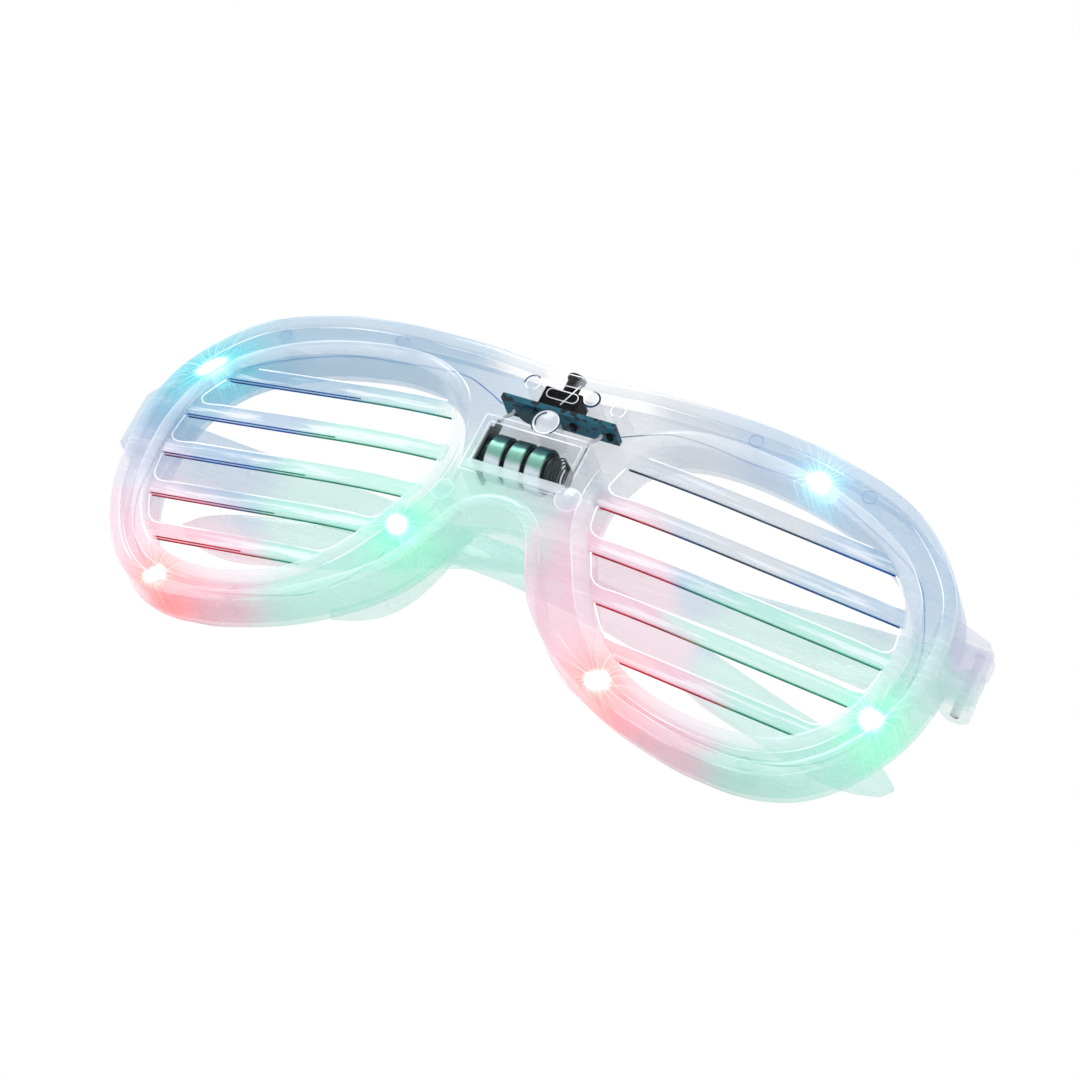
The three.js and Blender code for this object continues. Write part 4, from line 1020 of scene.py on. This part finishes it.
# Battery cells: a steel can, a dark gasket and the smaller cap
CAN, CAN_DEPTH = 3.95, 2.8
can_profile = [(CAN - 0.65, 0), (CAN - 0.2, 0), (CAN, 0.2)]
can_profile += [(radius, CAN_DEPTH - distance) for radius, distance in reversed(can_profile)]
steel_painted_reflection = cell_steel("steel_painted_reflection", node_box("battery_cell_1")[2][2] / 1000, CAN / 1000)
for number in (1, 2, 3):
    low, _, middle = node_box(f"battery_cell_{number}")
    for part, profile, material in (
        ("can", can_profile, steel_painted_reflection),
        ("gasket", [(2.9, 2.6), (3.45, 2.6), (3.45, 3.1), (2.9, 3.1)], gasket),
        ("cap", [(0.5, 2.9), (3.1, 2.9), (3.1, 3.4), (2.9, 3.6), (0.5, 3.6)], dark_steel),
    ):
        replaces = [f"battery_cell_{number}"] if part == "can" else ()
        make(f"cell_{part}_{number}", *lathe(profile, 48, (low[0], *middle[1:]), (1, 0, 0)), material,
             slot="steel", replaces=replaces)

# Spring: a cone of round wire, widest at the last cell, with its tail up through the slot
_, high, (_, cell_y, cell_z) = node_box("battery_cell_3")
board_y = node_box("circuit_board")[2][1]
SPRING_TURNS, SPRING_STEPS = 6, 192
SPRING_WIDE, SPRING_NARROW = 3.4, 1.3
start_x = high[0] + 0.5
end_x = BOX_RIGHT - BOX_WALL - 1.2
tail_x = BOX_RIGHT - BOX_WALL - 0.5
coil = []
for i in range(SPRING_STEPS + 1):
    share = i / SPRING_STEPS
    angle = share * SPRING_TURNS * 2 * math.pi
    radius = (SPRING_WIDE + share * (SPRING_NARROW - SPRING_WIDE)) * 0.98
    coil.append((start_x + share * (end_x - start_x), cell_y + radius * math.sin(angle),
                 cell_z + radius * math.cos(angle)))
bend = (tail_x, board_y, BOX_HIGH - BOX_WALL - 0.4)
tail = [tuple(np.array(coil[-1]) + (np.array(bend) - coil[-1]) * t) for t in (0.33, 0.66, 1.0)]
tail += [(tail_x, board_y, BOX_HIGH - 0.4), (tail_x, board_y, BOX_HIGH + 0.25)]
make("spring_wire", *tube_points(coil + tail, 0.13), dark_steel, slot="steel", replaces=["contact_spring"])

# Switch: thin white lines, a loop and a slash, just in front of the face of its black body
low, high, (mid_x, _, mid_z) = node_box("switch_body")
face = low[1] - 0.05
outline = rounded_rectangle(mid_x - 2.7, mid_x + 2.9, mid_z - 0.2, mid_z + 1.6, 0.88)
around = [(x, face, z) for x, z in outline]
slash = [(mid_x + 2.2, face, high[2] + 1.6), (mid_x + 0.5, face, mid_z - 1.0)]
marks = [tube_points(line, 0.09, 6) for line in (around + around[:2], slash)]
gathered("switch_outline", marks, switch_white_line, slot="black_plastic")

# Leads: a thin wire along each route, with a deep shade of the light round it
for number, route in enumerate(LEAD_ROUTES, 1):
    line = smooth([(x, wrap(x) + 4.0, z) for x, z in scaled(route)], 90)
    make(f"wire_{number}", *tube_points(line, 0.11, 8), wire_line, slot="wire",
         replaces=[f"lamp_lead_{number}"])

# CAD nodes that show themselves
for material, nodes in (
    (board_mask, ["circuit_board"]), (board_epoxy, ["controller_blob"]), (dark_steel, ["contact_plate"]),
    (black_plastic, ["resistor_1", "resistor_2", "switch_body", "push_button"]),
    (door_plastic, ["battery_door"]),
    (pale_steel, ["battery_door_screw", "left_hinge_pin", "right_hinge_pin"]),
    (pale_wire, ["battery_lead_positive", "battery_lead_negative"]),
):
    for node in nodes:
        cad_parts[node].data.materials[0] = material

# Floor: seen from above only, so that the view from below looks past it
floor_material, web = start_material("floor")
under = web.add("ShaderNodeNewGeometry").outputs["Backfacing"]
pale = web.add("ShaderNodeBsdfDiffuse", {"Color": (0.9, 0.9, 0.9, 1)}).outputs[0]
gone = web.add("ShaderNodeBsdfTransparent").outputs[0]
surface = web.add("ShaderNodeMixShader", {0: under, 1: pale, 2: gone}).outputs[0]
web.add("ShaderNodeOutputMaterial", {"Surface": surface})
floor_mesh = bpy.data.meshes.new("floor")
floor_mesh.from_pydata([(-3, -3, 0), (3, -3, 0), (3, 3, 0), (-3, 3, 0)], [], [(0, 1, 2, 3)])
floor_mesh.materials.append(floor_material)
floor = bpy.data.objects.new("floor", floor_mesh)
scene.collection.objects.link(floor)

# World: white to the eye and in gloss, a little less as light
world = bpy.data.worlds.new("world")
scene.world = world
world.use_nodes = True
world.node_tree.nodes.clear()
web = Web(world.node_tree)
path = web.add("ShaderNodeLightPath")
seen = web.math("MAXIMUM", web.math("MAXIMUM", path.outputs["Is Camera Ray"], path.outputs["Is Glossy Ray"]),
                path.outputs["Is Transmission Ray"])
dim = web.add("ShaderNodeBackground", {"Color": (0.93, 0.96, 1.0, 1), "Strength": 0.72}).outputs[0]
white = web.add("ShaderNodeBackground", {"Color": (1, 1, 1, 1), "Strength": 1.0}).outputs[0]
surface = web.add("ShaderNodeMixShader", {0: seen, 1: dim, 2: white}).outputs[0]
web.add("ShaderNodeOutputWorld", {"Surface": surface})


def area(name, place, size, power):
    """A soft light that faces the glasses."""
    data = bpy.data.lights.new(name, "AREA")
    data.size = size
    data.energy = power
    data.specular_factor = 0.35
    light = bpy.data.objects.new(name, data)
    light.location = place
    light.rotation_euler = (GLASSES_MIDDLE - Vector(place)).to_track_quat("-Z", "Y").to_euler()
    scene.collection.objects.link(light)


GLASSES_MIDDLE = Vector((0, 0, 0.03))
area("key", (-0.5, -0.7, 0.9), 0.5, 6)
area("low", (0.6, -0.6, -0.35), 0.3, 1.5)
